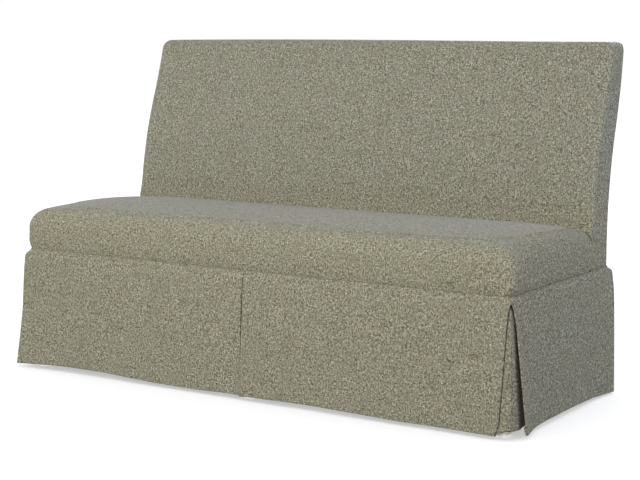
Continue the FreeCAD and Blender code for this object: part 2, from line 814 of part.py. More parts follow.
def dust_cover():
    """The cloth under the seat, cut round the legs, and the tacks that hold it."""
    top = rail_bottom
    low = top - dust_cover_thickness
    half = frame_half_width - dust_cover_margin
    front = frame_front_y + dust_cover_margin
    rear = post_front_y + rail_thickness - dust_cover_margin
    cloth = box((-half, half), (front, rear), (low, top))
    gap = dust_cover_leg_gap
    centre_half = centre_leg_size / 2 + gap
    holes = []
    for side in (-1, 1):
        leg_x = sorted((side * (frame_half_width - leg_size - gap), side * frame_half_width))
        post_x = sorted((side * (frame_half_width - post_width - gap), side * frame_half_width))
        holes.append(box(leg_x, (frame_front_y, frame_front_y + leg_size + gap), (low, top)))
        holes.append(box(post_x, (post_front_y - gap, post_rear_y), (low, top)))
    for y in (front_rail_y, rear_rail_y):
        holes.append(box((-centre_half, centre_half), (y - centre_half, y + centre_half), (low, top)))
    cloth = cloth.cut(holes)
    tacks = Fasteners()
    up = V(0, 0, 1)
    for place in tack_places(low):
        tack = nail(tack_head_diameter, tack_head_height, tack_diameter, tack_length, place, up)
        tacks.add(tack, nail_hole(tack_diameter, screw_gap, place, up, tack_length))
    return tacks.bore(cloth), tacks


def tack_places(z):
    """Places along the middle of the rails, clear of the legs."""
    side_x = frame_half_width - rail_thickness / 2
    start_x = centre_leg_size / 2 + dust_cover_leg_gap + tack_head_diameter
    end_x = frame_half_width - leg_size - 2 * tack_head_diameter
    start_y = frame_front_y + leg_size + 2 * tack_head_diameter
    end_y = post_front_y - 2 * tack_head_diameter
    count_x = max(2, round((end_x - start_x) / tack_spacing) + 1)
    count_y = max(2, round((end_y - start_y) / tack_spacing) + 1)
    places = []
    for side in (-1, 1):
        for index in range(count_x):
            x = start_x + (end_x - start_x) * index / (count_x - 1)
            places += [V(side * x, y, z) for y in (front_rail_y, rear_rail_y)]
        for index in range(count_y):
            places.append(V(side * side_x, start_y + (end_y - start_y) * index / (count_y - 1), z))
    return places


def frame():
    """The bored frame members, their joinery, the suspension and the dust cover."""
    dowels = frame_dowels()
    blocks, screws = corner_bracing()
    bolts = leg_bolts()
    glides = floor_glides()
    clip_nails = Fasteners()
    pieces = suspension(clip_nails)
    cloth, tacks = dust_cover()
    for name, member in frame_members().items():
        for fasteners in (dowels, screws, bolts, glides, clip_nails, tacks):
            member = fasteners.bore(member)
        pieces[name] = member
    pieces["corner_blocks"] = Part.makeCompound([screws.bore(block) for block in blocks])
    pieces["dust_cover"] = cloth
    groups = {
        "frame_dowels": dowels,
        "corner_block_screws": screws,
        "leg_bolts": bolts,
        "floor_glides": glides,
        "clip_nails": clip_nails,
        "dust_cover_tacks": tacks,
    }
    pieces.update({name: fasteners.group() for name, fasteners in groups.items()})
    return pieces


class SkirtSide:
    """One side of the skirt: where its seam runs and which way it faces."""

    def __init__(self, origin, outward, along):
        """origin is on the seam's line, outward and along are directions in plan."""
        self.origin = origin
        self.outward = outward
        self.along = along

    def at(self, run, out, z):
        """The point at a run along the seam, a distance out from it and a height."""
        return self.origin + self.along * run + self.outward * out + V(0, 0, z)

    def strip(self, outline, start, end):
        """An outline of edges in the side's section, drawn at start, as a solid that reaches to end."""
        return face_from(outline(start)).extrude(self.along * (end - start))

    def hanging(self, shift, thickness, low, start, end):
        """A layer of the skirt that follows its bulge, shift inside the outer face."""

        def outline(run):
            outer = self.fall(run, shift, low)
            inner = self.fall(run, shift + thickness, low)
            ends = [line(outer[0].Vertexes[0].Point, inner[0].Vertexes[0].Point)]
            ends.append(line(outer[1].Vertexes[1].Point, inner[1].Vertexes[1].Point))
            return outer + inner + ends

        return self.strip(outline, start, end)

    def fall(self, run, shift, low):
        """The skirt's section from the seam down: an arc, and a straight fall that leaves it smoothly."""
        drop_z = seam_height - skirt_bulge_drop
        slope = (skirt_flare - skirt_bulge) / (drop_z - hem_clearance)
        inward = V(-1, 0, -slope).normalize()
        top = V(panel_front - skirt_bulge, 0, skirt_bulge_drop)
        radius = top.dot(top) / (2 * top.dot(inward))
        centre = inward * radius
        middle = centre + (top - centre * 2).normalize() * radius
        outs = [panel_front, skirt_bulge + middle.x, skirt_bulge]
        zs = [seam_height, drop_z + middle.z, drop_z]
        points = [self.at(run, out - shift, z) for out, z in zip(outs, zs)]
        hem = self.at(run, skirt_bulge - shift + slope * (drop_z - low), low)
        return [Part.Arc(*points).toShape(), line(points[2], hem)]

    def insert(self, width):
        """A flat fall of fabric behind the pleat at the middle of this side."""

        def outline(run):
            corners = [
                self.at(run, fit_gap, seam_height),
                self.at(run, insert_front, seam_height),
                self.at(run, insert_flare, insert_bottom),
                self.at(run, insert_flare - insert_thickness, insert_bottom),
            ]
            return [line(corners[index - 1], corners[index]) for index in range(4)]

        return self.strip(outline, -width / 2, width / 2)

    def slant(self, edge, inward, margin=0.0):
        """The tool that trims a panel's end: at the seam's corner above, back from the hem's corner below."""
        rise = overcut
        lean = (pleat_opening - skirt_flare) / (seam_height - hem_clearance)
        step = pleat_opening - skirt_flare
        runs = [edge + inward * (margin + run) for run in (-lean * rise, step + lean * rise)]
        heights = [seam_height + rise, hem_clearance - rise]
        outside = edge - inward * (skirt_flare + overcut)
        points = [(runs[0], heights[0]), (outside, heights[0]), (outside, heights[1]), (runs[1], heights[1])]
        face = polygon([self.at(run, -overcut, z) for run, z in points])
        return face.extrude(self.outward * (skirt_flare + 2 * overcut))

    def panel(self, start, end, pleat_start, pleat_end):
        """A panel and its lining between two places, each either a corner pleat or a straight edge."""
        face = self.hanging(0, panel_thickness, hem_clearance, start, end)
        lining_shift = panel_front - lining_back - lining_thickness
        inner = [start, end]
        inner[0] += 0 if pleat_start else lining_margin
        inner[1] -= 0 if pleat_end else lining_margin
        lining = self.hanging(lining_shift, lining_thickness, hem_clearance + lining_margin, *inner)
        for is_pleat, edge, inward in ((pleat_start, start, 1), (pleat_end, end, -1)):
            if is_pleat:
                face = face.cut(self.slant(edge, inward))
                lining = lining.cut(self.slant(edge, inward, lining_margin))
        return face, lining

    def tack_strip(self, half):
        """The strip behind the top edge of this side."""
        low = self.at(-half, strip_back, seam_height - strip_width)
        corners = [low, low + self.outward * strip_thickness]
        corners += [corner + V(0, 0, strip_width) for corner in reversed(corners)]
        return polygon(corners).extrude(self.along * (2 * half))


def corner_insert(corner_y, inward, radius):
    """The folded fabric behind a right-hand corner pleat; inward is the way along Y from the corner."""
    centre = V(seam_half_width - radius, corner_y + inward * radius, 0)
    diagonal = V(1, -inward, 0) * math.sqrt(0.5)
    run = insert_reach - radius
    sections = []
    for out, z in ((insert_front, seam_height), (insert_flare, insert_bottom)):
        loops = []
        for reach in (radius + out, radius + out - insert_thickness):
            lift = V(0, 0, z)
            on_front = centre + V(0, -inward * reach, 0) + lift
            on_side = centre + V(reach, 0, 0) + lift
            bend = centre + diagonal * reach + lift
            ends = (on_front - V(run, 0, 0), on_side + V(0, inward * run, 0))
            loops.append([ends[0], on_front, bend, on_side, ends[1]])
        outer, inner = loops
        edges = [
            line(outer[0], outer[1]),
            Part.Arc(*outer[1:4]).toShape(),
            line(outer[3], outer[4]),
            line(outer[4], inner[4]),
            line(inner[4], inner[3]),
            Part.Arc(inner[3], inner[2], inner[1]).toShape(),
            line(inner[1], inner[0]),
            line(inner[0], outer[0]),
        ]
        sections.append(Part.Wire(edges))
    return Part.makeLoft(sections, True, True)


def skirt():
    """Six lined panels, the inserts behind their six pleats and the strips along their top edges."""
    half_depth = (rear_face.foot_y - front_seam_y) / 2
    middle_y = (rear_face.foot_y + front_seam_y) / 2
    front = SkirtSide(V(0, front_seam_y, 0), V(0, -1, 0), V(1, 0, 0))
    rear = SkirtSide(V(0, rear_face.foot_y, 0), V(0, 1, 0), V(1, 0, 0))
    right = SkirtSide(V(seam_half_width, middle_y, 0), V(1, 0, 0), V(0, 1, 0))
    gap = centre_pleat_gap / 2
    pieces = {}
    for end_name, side in (("front", front), ("rear", rear)):
        panel, lining = side.panel(gap, seam_half_width, False, True)
        names = [f"skirt_{end_name}_{hand}" for hand in ("left", "right")]
        pieces.update(pair(*[f"{name}_panel" for name in names], panel))
        pieces.update(pair(*[f"{name}_lining" for name in names], lining))
        pieces[f"skirt_{end_name}_centre_insert"] = side.insert(centre_insert_width)
    panel, lining = right.panel(-half_depth, half_depth, True, True)
    pieces.update(pair("skirt_left_panel", "skirt_right_panel", panel))
    pieces.update(pair("skirt_left_lining", "skirt_right_lining", lining))
    rear_radius = seam_half_width - back_half_width
    ends = (("front", front_seam_y, 1, seam_corner_radius), ("rear", rear_face.foot_y, -1, rear_radius))
    for end_name, y, inward, radius in ends:
        insert = corner_insert(y, inward, radius)
        pieces.update(pair(f"skirt_{end_name}_left_insert", f"skirt_{end_name}_right_insert", insert))
    side_strip = right.tack_strip(half_depth)
    long_strips = [side.tack_strip(seam_half_width) for side in (front, rear)]
    pieces["skirt_tack_strips"] = Part.makeCompound(long_strips + [side_strip, mirrored(side_strip)])
    return pieces


def main():
    """Write each piece to a file of its own."""
    pieces = {}
    for build in (frame, seat_pieces, back_covers, back_filling, skirt):
        pieces.update(build())
    os.makedirs("parts", exist_ok=True)
    for name, shape in pieces.items():
        shape.exportStep(f"parts/{name}.step")


main()
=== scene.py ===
"""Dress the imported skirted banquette: a tweed seat, a raked back and a pleated skirt, in soft studio light.

Sizes are in millimetres in the banquette's own frame: X to the right, Y to the rear and Z up from the floor.
"""

import json
import logging
import math
from dataclasses import dataclass, field, replace
from enum import Enum
from typing import Any, Union

import bpy
import numpy as np
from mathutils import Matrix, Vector


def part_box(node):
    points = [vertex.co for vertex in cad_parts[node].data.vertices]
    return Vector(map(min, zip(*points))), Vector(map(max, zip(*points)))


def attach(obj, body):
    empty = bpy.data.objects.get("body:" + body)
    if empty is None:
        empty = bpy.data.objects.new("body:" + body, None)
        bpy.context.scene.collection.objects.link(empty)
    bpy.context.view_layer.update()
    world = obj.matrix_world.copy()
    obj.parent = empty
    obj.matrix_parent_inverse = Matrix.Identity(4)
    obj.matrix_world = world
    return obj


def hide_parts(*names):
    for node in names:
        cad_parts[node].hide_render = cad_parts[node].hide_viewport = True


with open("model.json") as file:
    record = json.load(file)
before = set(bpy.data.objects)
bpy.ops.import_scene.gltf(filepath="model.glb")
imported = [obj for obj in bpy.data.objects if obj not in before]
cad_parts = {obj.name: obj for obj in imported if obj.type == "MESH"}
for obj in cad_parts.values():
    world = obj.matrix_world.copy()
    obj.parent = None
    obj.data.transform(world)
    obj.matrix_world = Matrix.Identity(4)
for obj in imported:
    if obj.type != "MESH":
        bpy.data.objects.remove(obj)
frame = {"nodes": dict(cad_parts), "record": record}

Array = np.ndarray
Number = Union[float, Array]
Triple = tuple[float, float, float]
Colour = Triple
Stops = list[tuple[float, Colour]]

MM = 0.001
BODY = "root"
IMAGE_WIDTH = 640
IMAGE_HEIGHT = 480
EVEN: Triple = (1.0, 1.0, 1.0)
WHITE: Colour = (1.0, 1.0, 1.0)
# The weave's length along the two sides of the piece, as a share of its length on the front.
SIDE_GRAIN = 0.7
# The attribute in which a tweed piece keeps how far each of its points faces up.
UPWARD = "upward"

log = logging.getLogger("banquette")


def smooth(value: Number) -> Array:
    """An S-shaped ramp: 0 below 0, 1 above 1, and 3t² - 2t³ between."""
    t = np.clip(value, 0.0, 1.0)
    return t * t * (3.0 - 2.0 * t)


def hump(value: Number, centre: float, reach: float) -> Array:
    """A rounded hump: (1 - d²)², where d is the distance from the centre as a share of the reach."""
    d = np.clip(np.abs(value - centre) / reach, 0.0, 1.0)
    return (1.0 - d * d) ** 2


def node_box(node: str) -> tuple[Array, Array]:
    """The lowest and highest corners of a node of the frame, in millimetres."""
    low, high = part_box(node)
    return np.array(low) / MM, np.array(high) / MM


def grid_normals(points: Array) -> Array:
    """Unit normals of a grid of points: the cross product of the steps down its columns and along its rows.

    Args:
        points: Array of rows by columns by three.

    Returns:
        Array of the same shape.
    """
    normals = np.cross(np.gradient(points, axis=0), np.gradient(points, axis=1))
    return normals / np.maximum(np.linalg.norm(normals, axis=2, keepdims=True), 1e-9)


def facing_out(points: Array, inside: Array) -> bool:
    """Whether a grid's normals point away from a point behind it."""
    return float(np.sum(grid_normals(points) * (points - inside))) > 0.0


def outward_normals(points: Array, inside: Array) -> Array:
    """A grid's normals, turned away from a point behind it."""
    return grid_normals(points) * (1.0 if facing_out(points, inside) else -1.0)


def grid_quads(rows: int, columns: int, flip: bool) -> Array:
    """Corner indices of a grid's quads.

    Args:
        rows: How many rows of points.
        columns: How many points in a row.
        flip: Whether the quads are turned over.

    Returns:
        Array of quads by four.
    """
    index = np.arange(rows * columns).reshape(rows, columns)
    corners = [index[:-1, :-1], index[1:, :-1], index[1:, 1:], index[:-1, 1:]]
    quads = np.stack(corners, axis=-1).reshape(-1, 4)
    return quads[:, ::-1] if flip else quads


def mesh_object(name: str, points: Array, quads: Array, uvs: Array) -> bpy.types.Object:
    """A smooth mesh object from points in millimetres.

    Args:
        name: Name of the object and its mesh.
        points: Array of vertices by three.
        quads: Array of faces by four vertex indices.
        uvs: Array of faces by four by two, the place on the flat cloth in metres.

    Returns:
        The object, linked to the scene.
    """
    mesh = bpy.data.meshes.new(name)
    mesh.vertices.add(len(points))
    mesh.vertices.foreach_set("co", (points * MM).astype(np.float32).ravel())
    mesh.loops.add(quads.size)
    mesh.loops.foreach_set("vertex_index", quads.astype(np.int32).ravel())
    mesh.polygons.add(len(quads))
    mesh.polygons.foreach_set("loop_start", np.arange(0, quads.size, 4, dtype=np.int32))
    mesh.polygons.foreach_set("use_smooth", np.ones(len(quads), dtype=bool))
    layer = mesh.uv_layers.new(name="cloth")
    mesh.update(calc_edges=True)
    layer.data.foreach_set("uv", uvs.astype(np.float32).ravel())
    mesh.validate()
    obj = bpy.data.objects.new(name, mesh)
    bpy.context.scene.collection.objects.link(obj)
    return obj


def grid_object(name: str, points: Array, inside: Array, flat: Array) -> bpy.types.Object:
    """A mesh object from one grid, with its faces turned outwards.

    Args:
        name: Name of the object.
        points: Array of rows by columns by three, in millimetres.
        inside: A point behind the surface.
        flat: Array of rows by columns by two, the place on the flat cloth in millimetres.

    Returns:
        The object, linked to the scene.
    """
    rows, columns = points.shape[:2]
    quads = grid_quads(rows, columns, not facing_out(points, inside))
    return mesh_object(name, points.reshape(-1, 3), quads, (flat * MM).reshape(-1, 2)[quads])


def thicken(obj: bpy.types.Object, thickness: float) -> None:
    """Gives a surface its cloth's thickness, inwards, with closed edges.

    Args:
        obj: The surface.
        thickness: The cloth's thickness in millimetres.
    """
    modifier = obj.modifiers.new("thickness", "SOLIDIFY")
    modifier.thickness = thickness * MM
    modifier.offset = -1.0
    modifier.use_rim = True


def mark_upward(mesh: bpy.types.Mesh) -> None:
    """Keeps how far each point of a surface faces up: its normal's height, from -1 to 1.

    Args:
        mesh: The surface.
    """
    normals = np.empty(3 * len(mesh.vertices), dtype=np.float32)
    mesh.vertex_normals.foreach_get("vector", normals)
    upward = mesh.attributes.new(UPWARD, "FLOAT", "POINT")
    upward.data.foreach_set("value", np.ascontiguousarray(normals[2::3]))


class Slot(Enum):
    """The record's material slots."""

    HARDWOOD = "hardwood"
    DOWEL = "beech_dowel"
    STEEL = "steel"
    SPRING = "spring_wire"
    GLIDE = "glide_plastic"
    FOAM = "foam"
    WRAP = "fibre_wrap"
    FELT = "felt"
    JUTE = "jute"
    BOARD = "board"
    TWEED = "tweed"
    SKIRT_TWEED = "skirt_tweed"
    LINING = "lining"
    DUST_CLOTH = "dust_cloth"


class Side(Enum):
    """The skirt's four sides, as seen from the front."""

    FRONT = "front"
    REAR = "rear"
    LEFT = "left"
    RIGHT = "right"


class Source(Enum):
    """What a pattern is laid out by."""

    OBJECT = "Object"
    CLOTH = "UV"


class Blend(Enum):
    """How two colours are put together."""

    MIX = "MIX"
    MULTIPLY = "MULTIPLY"


class Sum(Enum):
    """What a Math node works out."""

    ADD = "ADD"
    SUBTRACT = "SUBTRACT"
    MULTIPLY = "MULTIPLY"
    MINIMUM = "MINIMUM"
    MAXIMUM = "MAXIMUM"
    ABSOLUTE = "ABSOLUTE"
    SINE = "SINE"


class Value:
    """A shader value. Arithmetic on it adds Math nodes to its material."""

    def __init__(self, kit: "NodeKit", socket: bpy.types.NodeSocket) -> None:
        """Wraps a socket of a material's nodes."""
        self.kit = kit
        self.socket = socket

    def __add__(self, other: Union["Value", float]) -> "Value":
        """The sum of two values."""
        return self.kit.math(Sum.ADD, self, other)

    __radd__ = __add__

    def __sub__(self, other: Union["Value", float]) -> "Value":
        """This value less the other."""
        return self.kit.math(Sum.SUBTRACT, self, other)

    def __rsub__(self, other: float) -> "Value":
        """A number less this value."""
        return self.kit.math(Sum.SUBTRACT, other, self)

    def __mul__(self, other: Union["Value", float]) -> "Value":
        """The product of two values."""
        return self.kit.math(Sum.MULTIPLY, self, other)

    __rmul__ = __mul__


Input = Union[Value, float, tuple]
Sockets = dict[Union[str, int], Input]
Tint = Union[Value, Colour]


class NodeKit:
    """The nodes of one material, around its main shader."""

    def __init__(self, name: str) -> None:
        """Starts a material with a main shader.

        Args:
            name: The material's name.
        """
        self.material = bpy.data.materials.new(name)
        self.material.use_nodes = True
        self.tree = self.material.node_tree
        self.shader = self.tree.nodes["Principled BSDF"]

    def node(self, kind: str, settings: dict[str, Any], inputs: Sockets) -> bpy.types.Node:
        """Adds a node.

        Args:
            kind: The node's type name.
            settings: Its properties, set first; "stops" are a ramp's places and colours.
            inputs: Values or links for its sockets, by name or index.

        Returns:
            The new node.
        """
        node = self.tree.nodes.new(kind)
        for key, setting in settings.items():
            if key == "stops":
                self.set_stops(node.color_ramp.elements, setting)
            else:
                setattr(node, key, setting)
        self.feed(node, inputs)
        return node

    def set_stops(self, elements: Any, stops: Stops) -> None:
        """Puts a ramp's stops in place of the two that it starts with.

        Args:
            elements: The ramp's own stops.
            stops: The new places and colours.
        """
        while len(elements) < len(stops):
            elements.new(1.0)
        for element, (place, colour) in zip(elements, stops):
            element.position = place
            element.color = (*colour, 1.0)

    def feed(self, node: bpy.types.Node, inputs: Sockets) -> None:
        """Links values to a node's sockets, and sets plain numbers on them.

        Args:
            node: The node.
            inputs: Values or numbers, by the socket's name or index.
        """
        for key, given in inputs.items():
            if isinstance(given, Value):
                self.tree.links.new(given.socket, node.inputs[key])
            else:
                node.inputs[key].default_value = given

    def value(self, node: bpy.types.Node, output: Union[str, int] = 0) -> Value:
        """One output of a node."""
        return Value(self, node.outputs[output])

    def math(self, working: Sum, first: Input, second: Input = 0.0) -> Value:
        """A Math node's result."""
        return self.value(self.node("ShaderNodeMath", {"operation": working.value}, {0: first, 1: second}))

    def place(self, source: Source, scale: Triple = EVEN) -> Value:
        """The coordinates that a pattern is laid out by, each axis times its own scale."""
        coordinates = self.value(self.node("ShaderNodeTexCoord", {}, {}), source.value)
        return self.value(self.node("ShaderNodeMapping", {}, {"Vector": coordinates, "Scale": scale}))

    def axis(self, vector: Value, number: int) -> Value:
        """One axis of a vector."""
        return self.value(self.node("ShaderNodeSeparateXYZ", {}, {0: vector}), number)

    def noise(self, where: Value, scale: float, detail: float = 2.0, roughness: float = 0.5) -> Value:
        """A soft noise from 0 to 1."""
        inputs = {"Vector": where, "Scale": scale, "Detail": detail, "Roughness": roughness}
        return self.value(self.node("ShaderNodeTexNoise", {}, inputs))

    def ramp(self, factor: Value, stops: Stops) -> Value:
        """A colour that follows a value through a row of stops."""
        return self.value(self.node("ShaderNodeValToRGB", {"stops": stops}, {0: factor}))

    def mix(self, factor: Input, first: Tint, second: Tint, blend: Blend = Blend.MIX) -> Value:
        """Two colours put together by a factor.

        Args:
            factor: 0 for the first colour only, 1 for the whole effect of the second.
            first: The first colour.
            second: The second colour.
            blend: How they are put together.

        Returns:
            The new colour.
        """
        ends = [end if isinstance(end, Value) else (*end, 1.0) for end in (first, second)]
        settings = {"data_type": "RGBA", "blend_type": blend.value}
        return self.value(self.node("ShaderNodeMix", settings, {0: factor, 6: ends[0], 7: ends[1]}), 2)

    def bump(self, height: Value, strength: float, distance: float) -> None:
        """Feeds the shader's normal from a height, whose full range is distance in millimetres."""
        inputs = {"Height": height, "Strength": strength, "Distance": distance * MM}
        self.feed(self.shader, {"Normal": self.value(self.node("ShaderNodeBump", {}, inputs))})


@dataclass(frozen=True)
class Tweed:
    """Heathered tweed: thick soft yarns of three shades, with slubs along both threads and a dry sheen."""

    name: str = "heathered_tweed"
    yarn: float = 3.5
    slub: float = 8.0
    streak: float = 55.0
    streak_from: float = 0.42
    streak_depth: float = 0.16
    fleck_size: float = 18.0
    flecked: float = 0.13
    flat_from: float = 0.6
    flat_gain: float = 3.0
    fine_rate: float = 0.88
    fine_stretch: Triple = (1.0, 0.58, 0.64)
    thread_share: float = 0.62
    patch_rate: float = 24.0
    patch_least: float = 0.45
    patch_gain: float = 1.1
    drift_rate: float = 19.0
    dark: Colour = (0.0324, 0.0300, 0.0175)
    middle: Colour = (0.138, 0.134, 0.101)
    pale: Colour = (0.345, 0.336, 0.276)
    yarn_stops: Triple = (0.352, 0.495, 0.67)
    green: Colour = (0.975, 1.00, 0.95)
    brown: Colour = (1.00, 0.975, 0.965)
    # Painted light: a warmer cast low down and a slightly cooler one up the back, for the colour of the light
    # there.
    painted_low_warmth: Colour = (1.022, 1.004, 0.955)
    painted_high_coolness: Colour = (0.998, 1.000, 1.004)
    # Painted light: paler round upper edges, a painted highlight, and warmer on flat tops against the cool
    # light there.
    painted_edge_light: Colour = (1.06, 1.06, 1.045)
    painted_top_warmth: Colour = (0.99, 0.987, 0.95)
    tint: Colour = (0.485, 0.485, 0.485)
    sheen: float = 0.05
    sheen_tint: Colour = (0.86, 0.88, 0.92)

    def build(self) -> bpy.types.Material:
        """Builds the material.

        Warp and weft each have a noise stretched along their own thread. A chequer of yarn crossings shows
        one or the other, and a finer fleck lies over both. Their contrast comes and goes in patches.

        Returns:
            The material.
        """
        kit = NodeKit(self.name)
        across = 1.0 / (self.yarn * MM)
        along = 1.0 / (self.slub * MM)
        warp = kit.noise(kit.place(Source.CLOTH, (across, along, 1.0)), 1.0, 2.0, 0.6)
        weft = kit.noise(kit.place(Source.CLOTH, (along, across, 1.0)), 1.0, 2.0, 0.6)
        crossing = self.crossings(kit, across)
        thread = warp * crossing + weft * (1.0 - crossing)
        fleck = kit.noise(kit.place(Source.OBJECT, self.fine_stretch), self.fine_rate * across, 3.0, 0.65)
        calm = kit.noise(kit.place(Source.OBJECT), self.patch_rate, 2.0)
        weave = thread * self.thread_share + fleck * (1.0 - self.thread_share)
        up = kit.value(kit.node("ShaderNodeAttribute", {"attribute_name": UPWARD}, {}), "Fac")
        grain = (weave - 0.5) * (self.patch_least + self.patch_gain * calm)
        tone = grain + 0.5 + self.slubs(kit) + self.mottle(kit, up)
        colour = self.colour(kit, tone, up)
        kit.feed(kit.shader, {"Base Color": colour, "Roughness": 0.80 + 0.20 * fleck})
        kit.feed(kit.shader, {"Specular IOR Level": 0.05, "Sheen Weight": self.sheen})
        kit.feed(kit.shader, {"Sheen Roughness": 0.45, "Sheen Tint": (*self.sheen_tint, 1.0)})
        kit.bump(self.relief(kit, across) * 0.5 + tone * 1.2, 0.55, 0.9)
        return kit.material

    def colour(self, kit: NodeKit, tone: Value, up: Value) -> Value:
        """The cloth's colour: the tone picks a yarn, and three casts are multiplied in.

        The shade drifts between green and brown over a hand's width. A painted cast of the light's colour
        makes it warmer low down than up the back.
        It has a painted highlight round an upper edge, and painted warmth where the cloth lies flat, against
        the cool light on top.

        Args:
            kit: The material's nodes.
            tone: 0 to 1, from the darkest yarn to the palest.
            up: How far the surface faces up.

        Returns:
            The colour.
        """
        yarns = [tuple(np.multiply(self.tint, yarn)) for yarn in (self.dark, self.middle, self.pale)]
        colour = kit.ramp(tone, list(zip(self.yarn_stops, yarns)))
        drift = kit.noise(kit.place(Source.OBJECT), self.drift_rate, 3.0, 0.6)
        height = kit.axis(kit.place(Source.OBJECT), 2)
        # The drift is the cloth's own tone; the height and facing casts are painted light.
        casts = (
            kit.ramp(drift, [(0.34, self.green), (0.5, WHITE), (0.66, self.brown)]),
            # Painted light: warmer low down, cooler up the back.
            kit.ramp(height, [(0.46, self.painted_low_warmth), (0.58, self.painted_high_coolness)]),
            # Painted light: a highlight round upper edges and warmth on flat tops.
            kit.ramp(up, [(0.45, WHITE), (0.88, self.painted_edge_light), (0.985, self.painted_top_warmth)]),
        )
        for cast in casts:
            colour = kit.mix(1.0, colour, cast, Blend.MULTIPLY)
        return colour

    def mottle(self, kit: NodeKit, up: Value) -> Value:
        """Broad faint flecks where the cloth lies flat: a noise times a ramp of how far the surface faces up.

        Args:
            kit: The material's nodes.
            up: How far the surface faces up.

        Returns:
            What the flecks add to the tone.
        """
        above = (up - self.flat_from) * self.flat_gain
        flat = kit.math(Sum.MINIMUM, kit.math(Sum.MAXIMUM, above, 0.0), 1.0)
        flecks = kit.noise(kit.place(Source.OBJECT), 1.0 / (self.fleck_size * MM), 2.0)
        return (flecks - 0.5) * flat * self.flecked

    def slubs(self, kit: NodeKit) -> Value:
        """Darker stretches of thick yarn along both threads: the low end of two long noises.

        Args:
            kit: The material's nodes.

        Returns:
            What the slubs add to the tone.
        """
        wide = 0.4 / (self.yarn * MM)
        long = 1.0 / (self.streak * MM)
        scales = ((wide, long, 1.0), (long, wide, 1.0))
        noises = [kit.noise(kit.place(Source.CLOTH, scale), 1.0, 1.0) for scale in scales]
        dips = [kit.math(Sum.MINIMUM, noise - self.streak_from, 0.0) for noise in noises]
        return (dips[0] + dips[1]) * self.streak_depth

    def crossings(self, kit: NodeKit, across: float) -> Value:
        """1 where the warp lies on top of the weft and 0 where it lies under, as a chequer.

        Args:
            kit: The material's nodes.
            across: How many yarns to a metre.

        Returns:
            The chequer.
        """
        where = kit.place(Source.CLOTH, (across, across, across))
        shades = {"Color1": (1.0, 1.0, 1.0, 1.0), "Color2": (0.0, 0.0, 0.0, 1.0)}
        chequer = kit.node("ShaderNodeTexChecker", {}, {"Vector": where, "Scale": 1.0, **shades})
        return kit.value(chequer, "Fac")

    def relief(self, kit: NodeKit, across: float) -> Value:
        """The rounded backs of the yarns: the product of two waves, one for each thread.

        Args:
            kit: The material's nodes.
            across: How many yarns to a metre.

        Returns:
            The height, 0 to 1.
        """
        where = kit.place(Source.CLOTH, (across, across, 1.0))
        waves = [kit.math(Sum.SINE, kit.axis(where, axis) * math.pi) for axis in (0, 1)]
        return kit.math(Sum.ABSOLUTE, waves[0]) * kit.math(Sum.ABSOLUTE, waves[1])


@dataclass(frozen=True)
class Speckled:
    """A plain finish with fine colour variation and relief: two shades mixed by a noise."""

    name: str
    light: Colour
    dark: Colour
    grain: Triple = (400.0, 400.0, 400.0)
    roughness: float = 0.9
    metallic: float = 0.0
    relief: float = 0.2

    def build(self) -> bpy.types.Material:
        """Builds the material.

        Returns:
            The material.
        """
        kit = NodeKit(self.name)
        fine = kit.noise(kit.place(Source.OBJECT, self.grain), 1.0, 4.0, 0.6)
        broad = kit.noise(kit.place(Source.OBJECT), 14.0, 2.0)
        colour = kit.ramp(fine * 0.75 + broad * 0.25, [(0.32, self.dark), (0.66, self.light)])
        kit.feed(kit.shader, {"Base Color": colour, "Metallic": self.metallic})
        kit.feed(kit.shader, {"Roughness": self.roughness - 0.15 + 0.3 * fine})
        kit.bump(fine, 0.4, self.relief)
        return kit.material


@dataclass(frozen=True)
class Woven:
    """A plain-weave cloth or mesh: two shades in a fine chequer of threads, with slubs."""

    name: str
    light: Colour
    dark: Colour
    thread: float = 1.2
    roughness: float = 0.9

    def build(self) -> bpy.types.Material:
        """Builds the material.

        Returns:
            The material.
        """
        kit = NodeKit(self.name)
        across = 1.0 / (self.thread * MM)
        where = kit.place(Source.OBJECT, (across, across, across))
        waves = [kit.math(Sum.SINE, kit.axis(where, axis) * math.pi) for axis in (0, 1, 2)]
        weave = kit.math(Sum.ABSOLUTE, waves[0] + waves[1] + waves[2]) * 0.4
        slub = kit.noise(kit.place(Source.OBJECT, (90.0, 90.0, 420.0)), 1.0, 3.0)
        colour = kit.ramp(weave * 0.4 + slub * 0.6, [(0.25, self.dark), (0.7, self.light)])
        kit.feed(kit.shader, {"Base Color": colour, "Roughness": self.roughness})
        kit.bump(weave, 0.35, 0.3)
        return kit.material


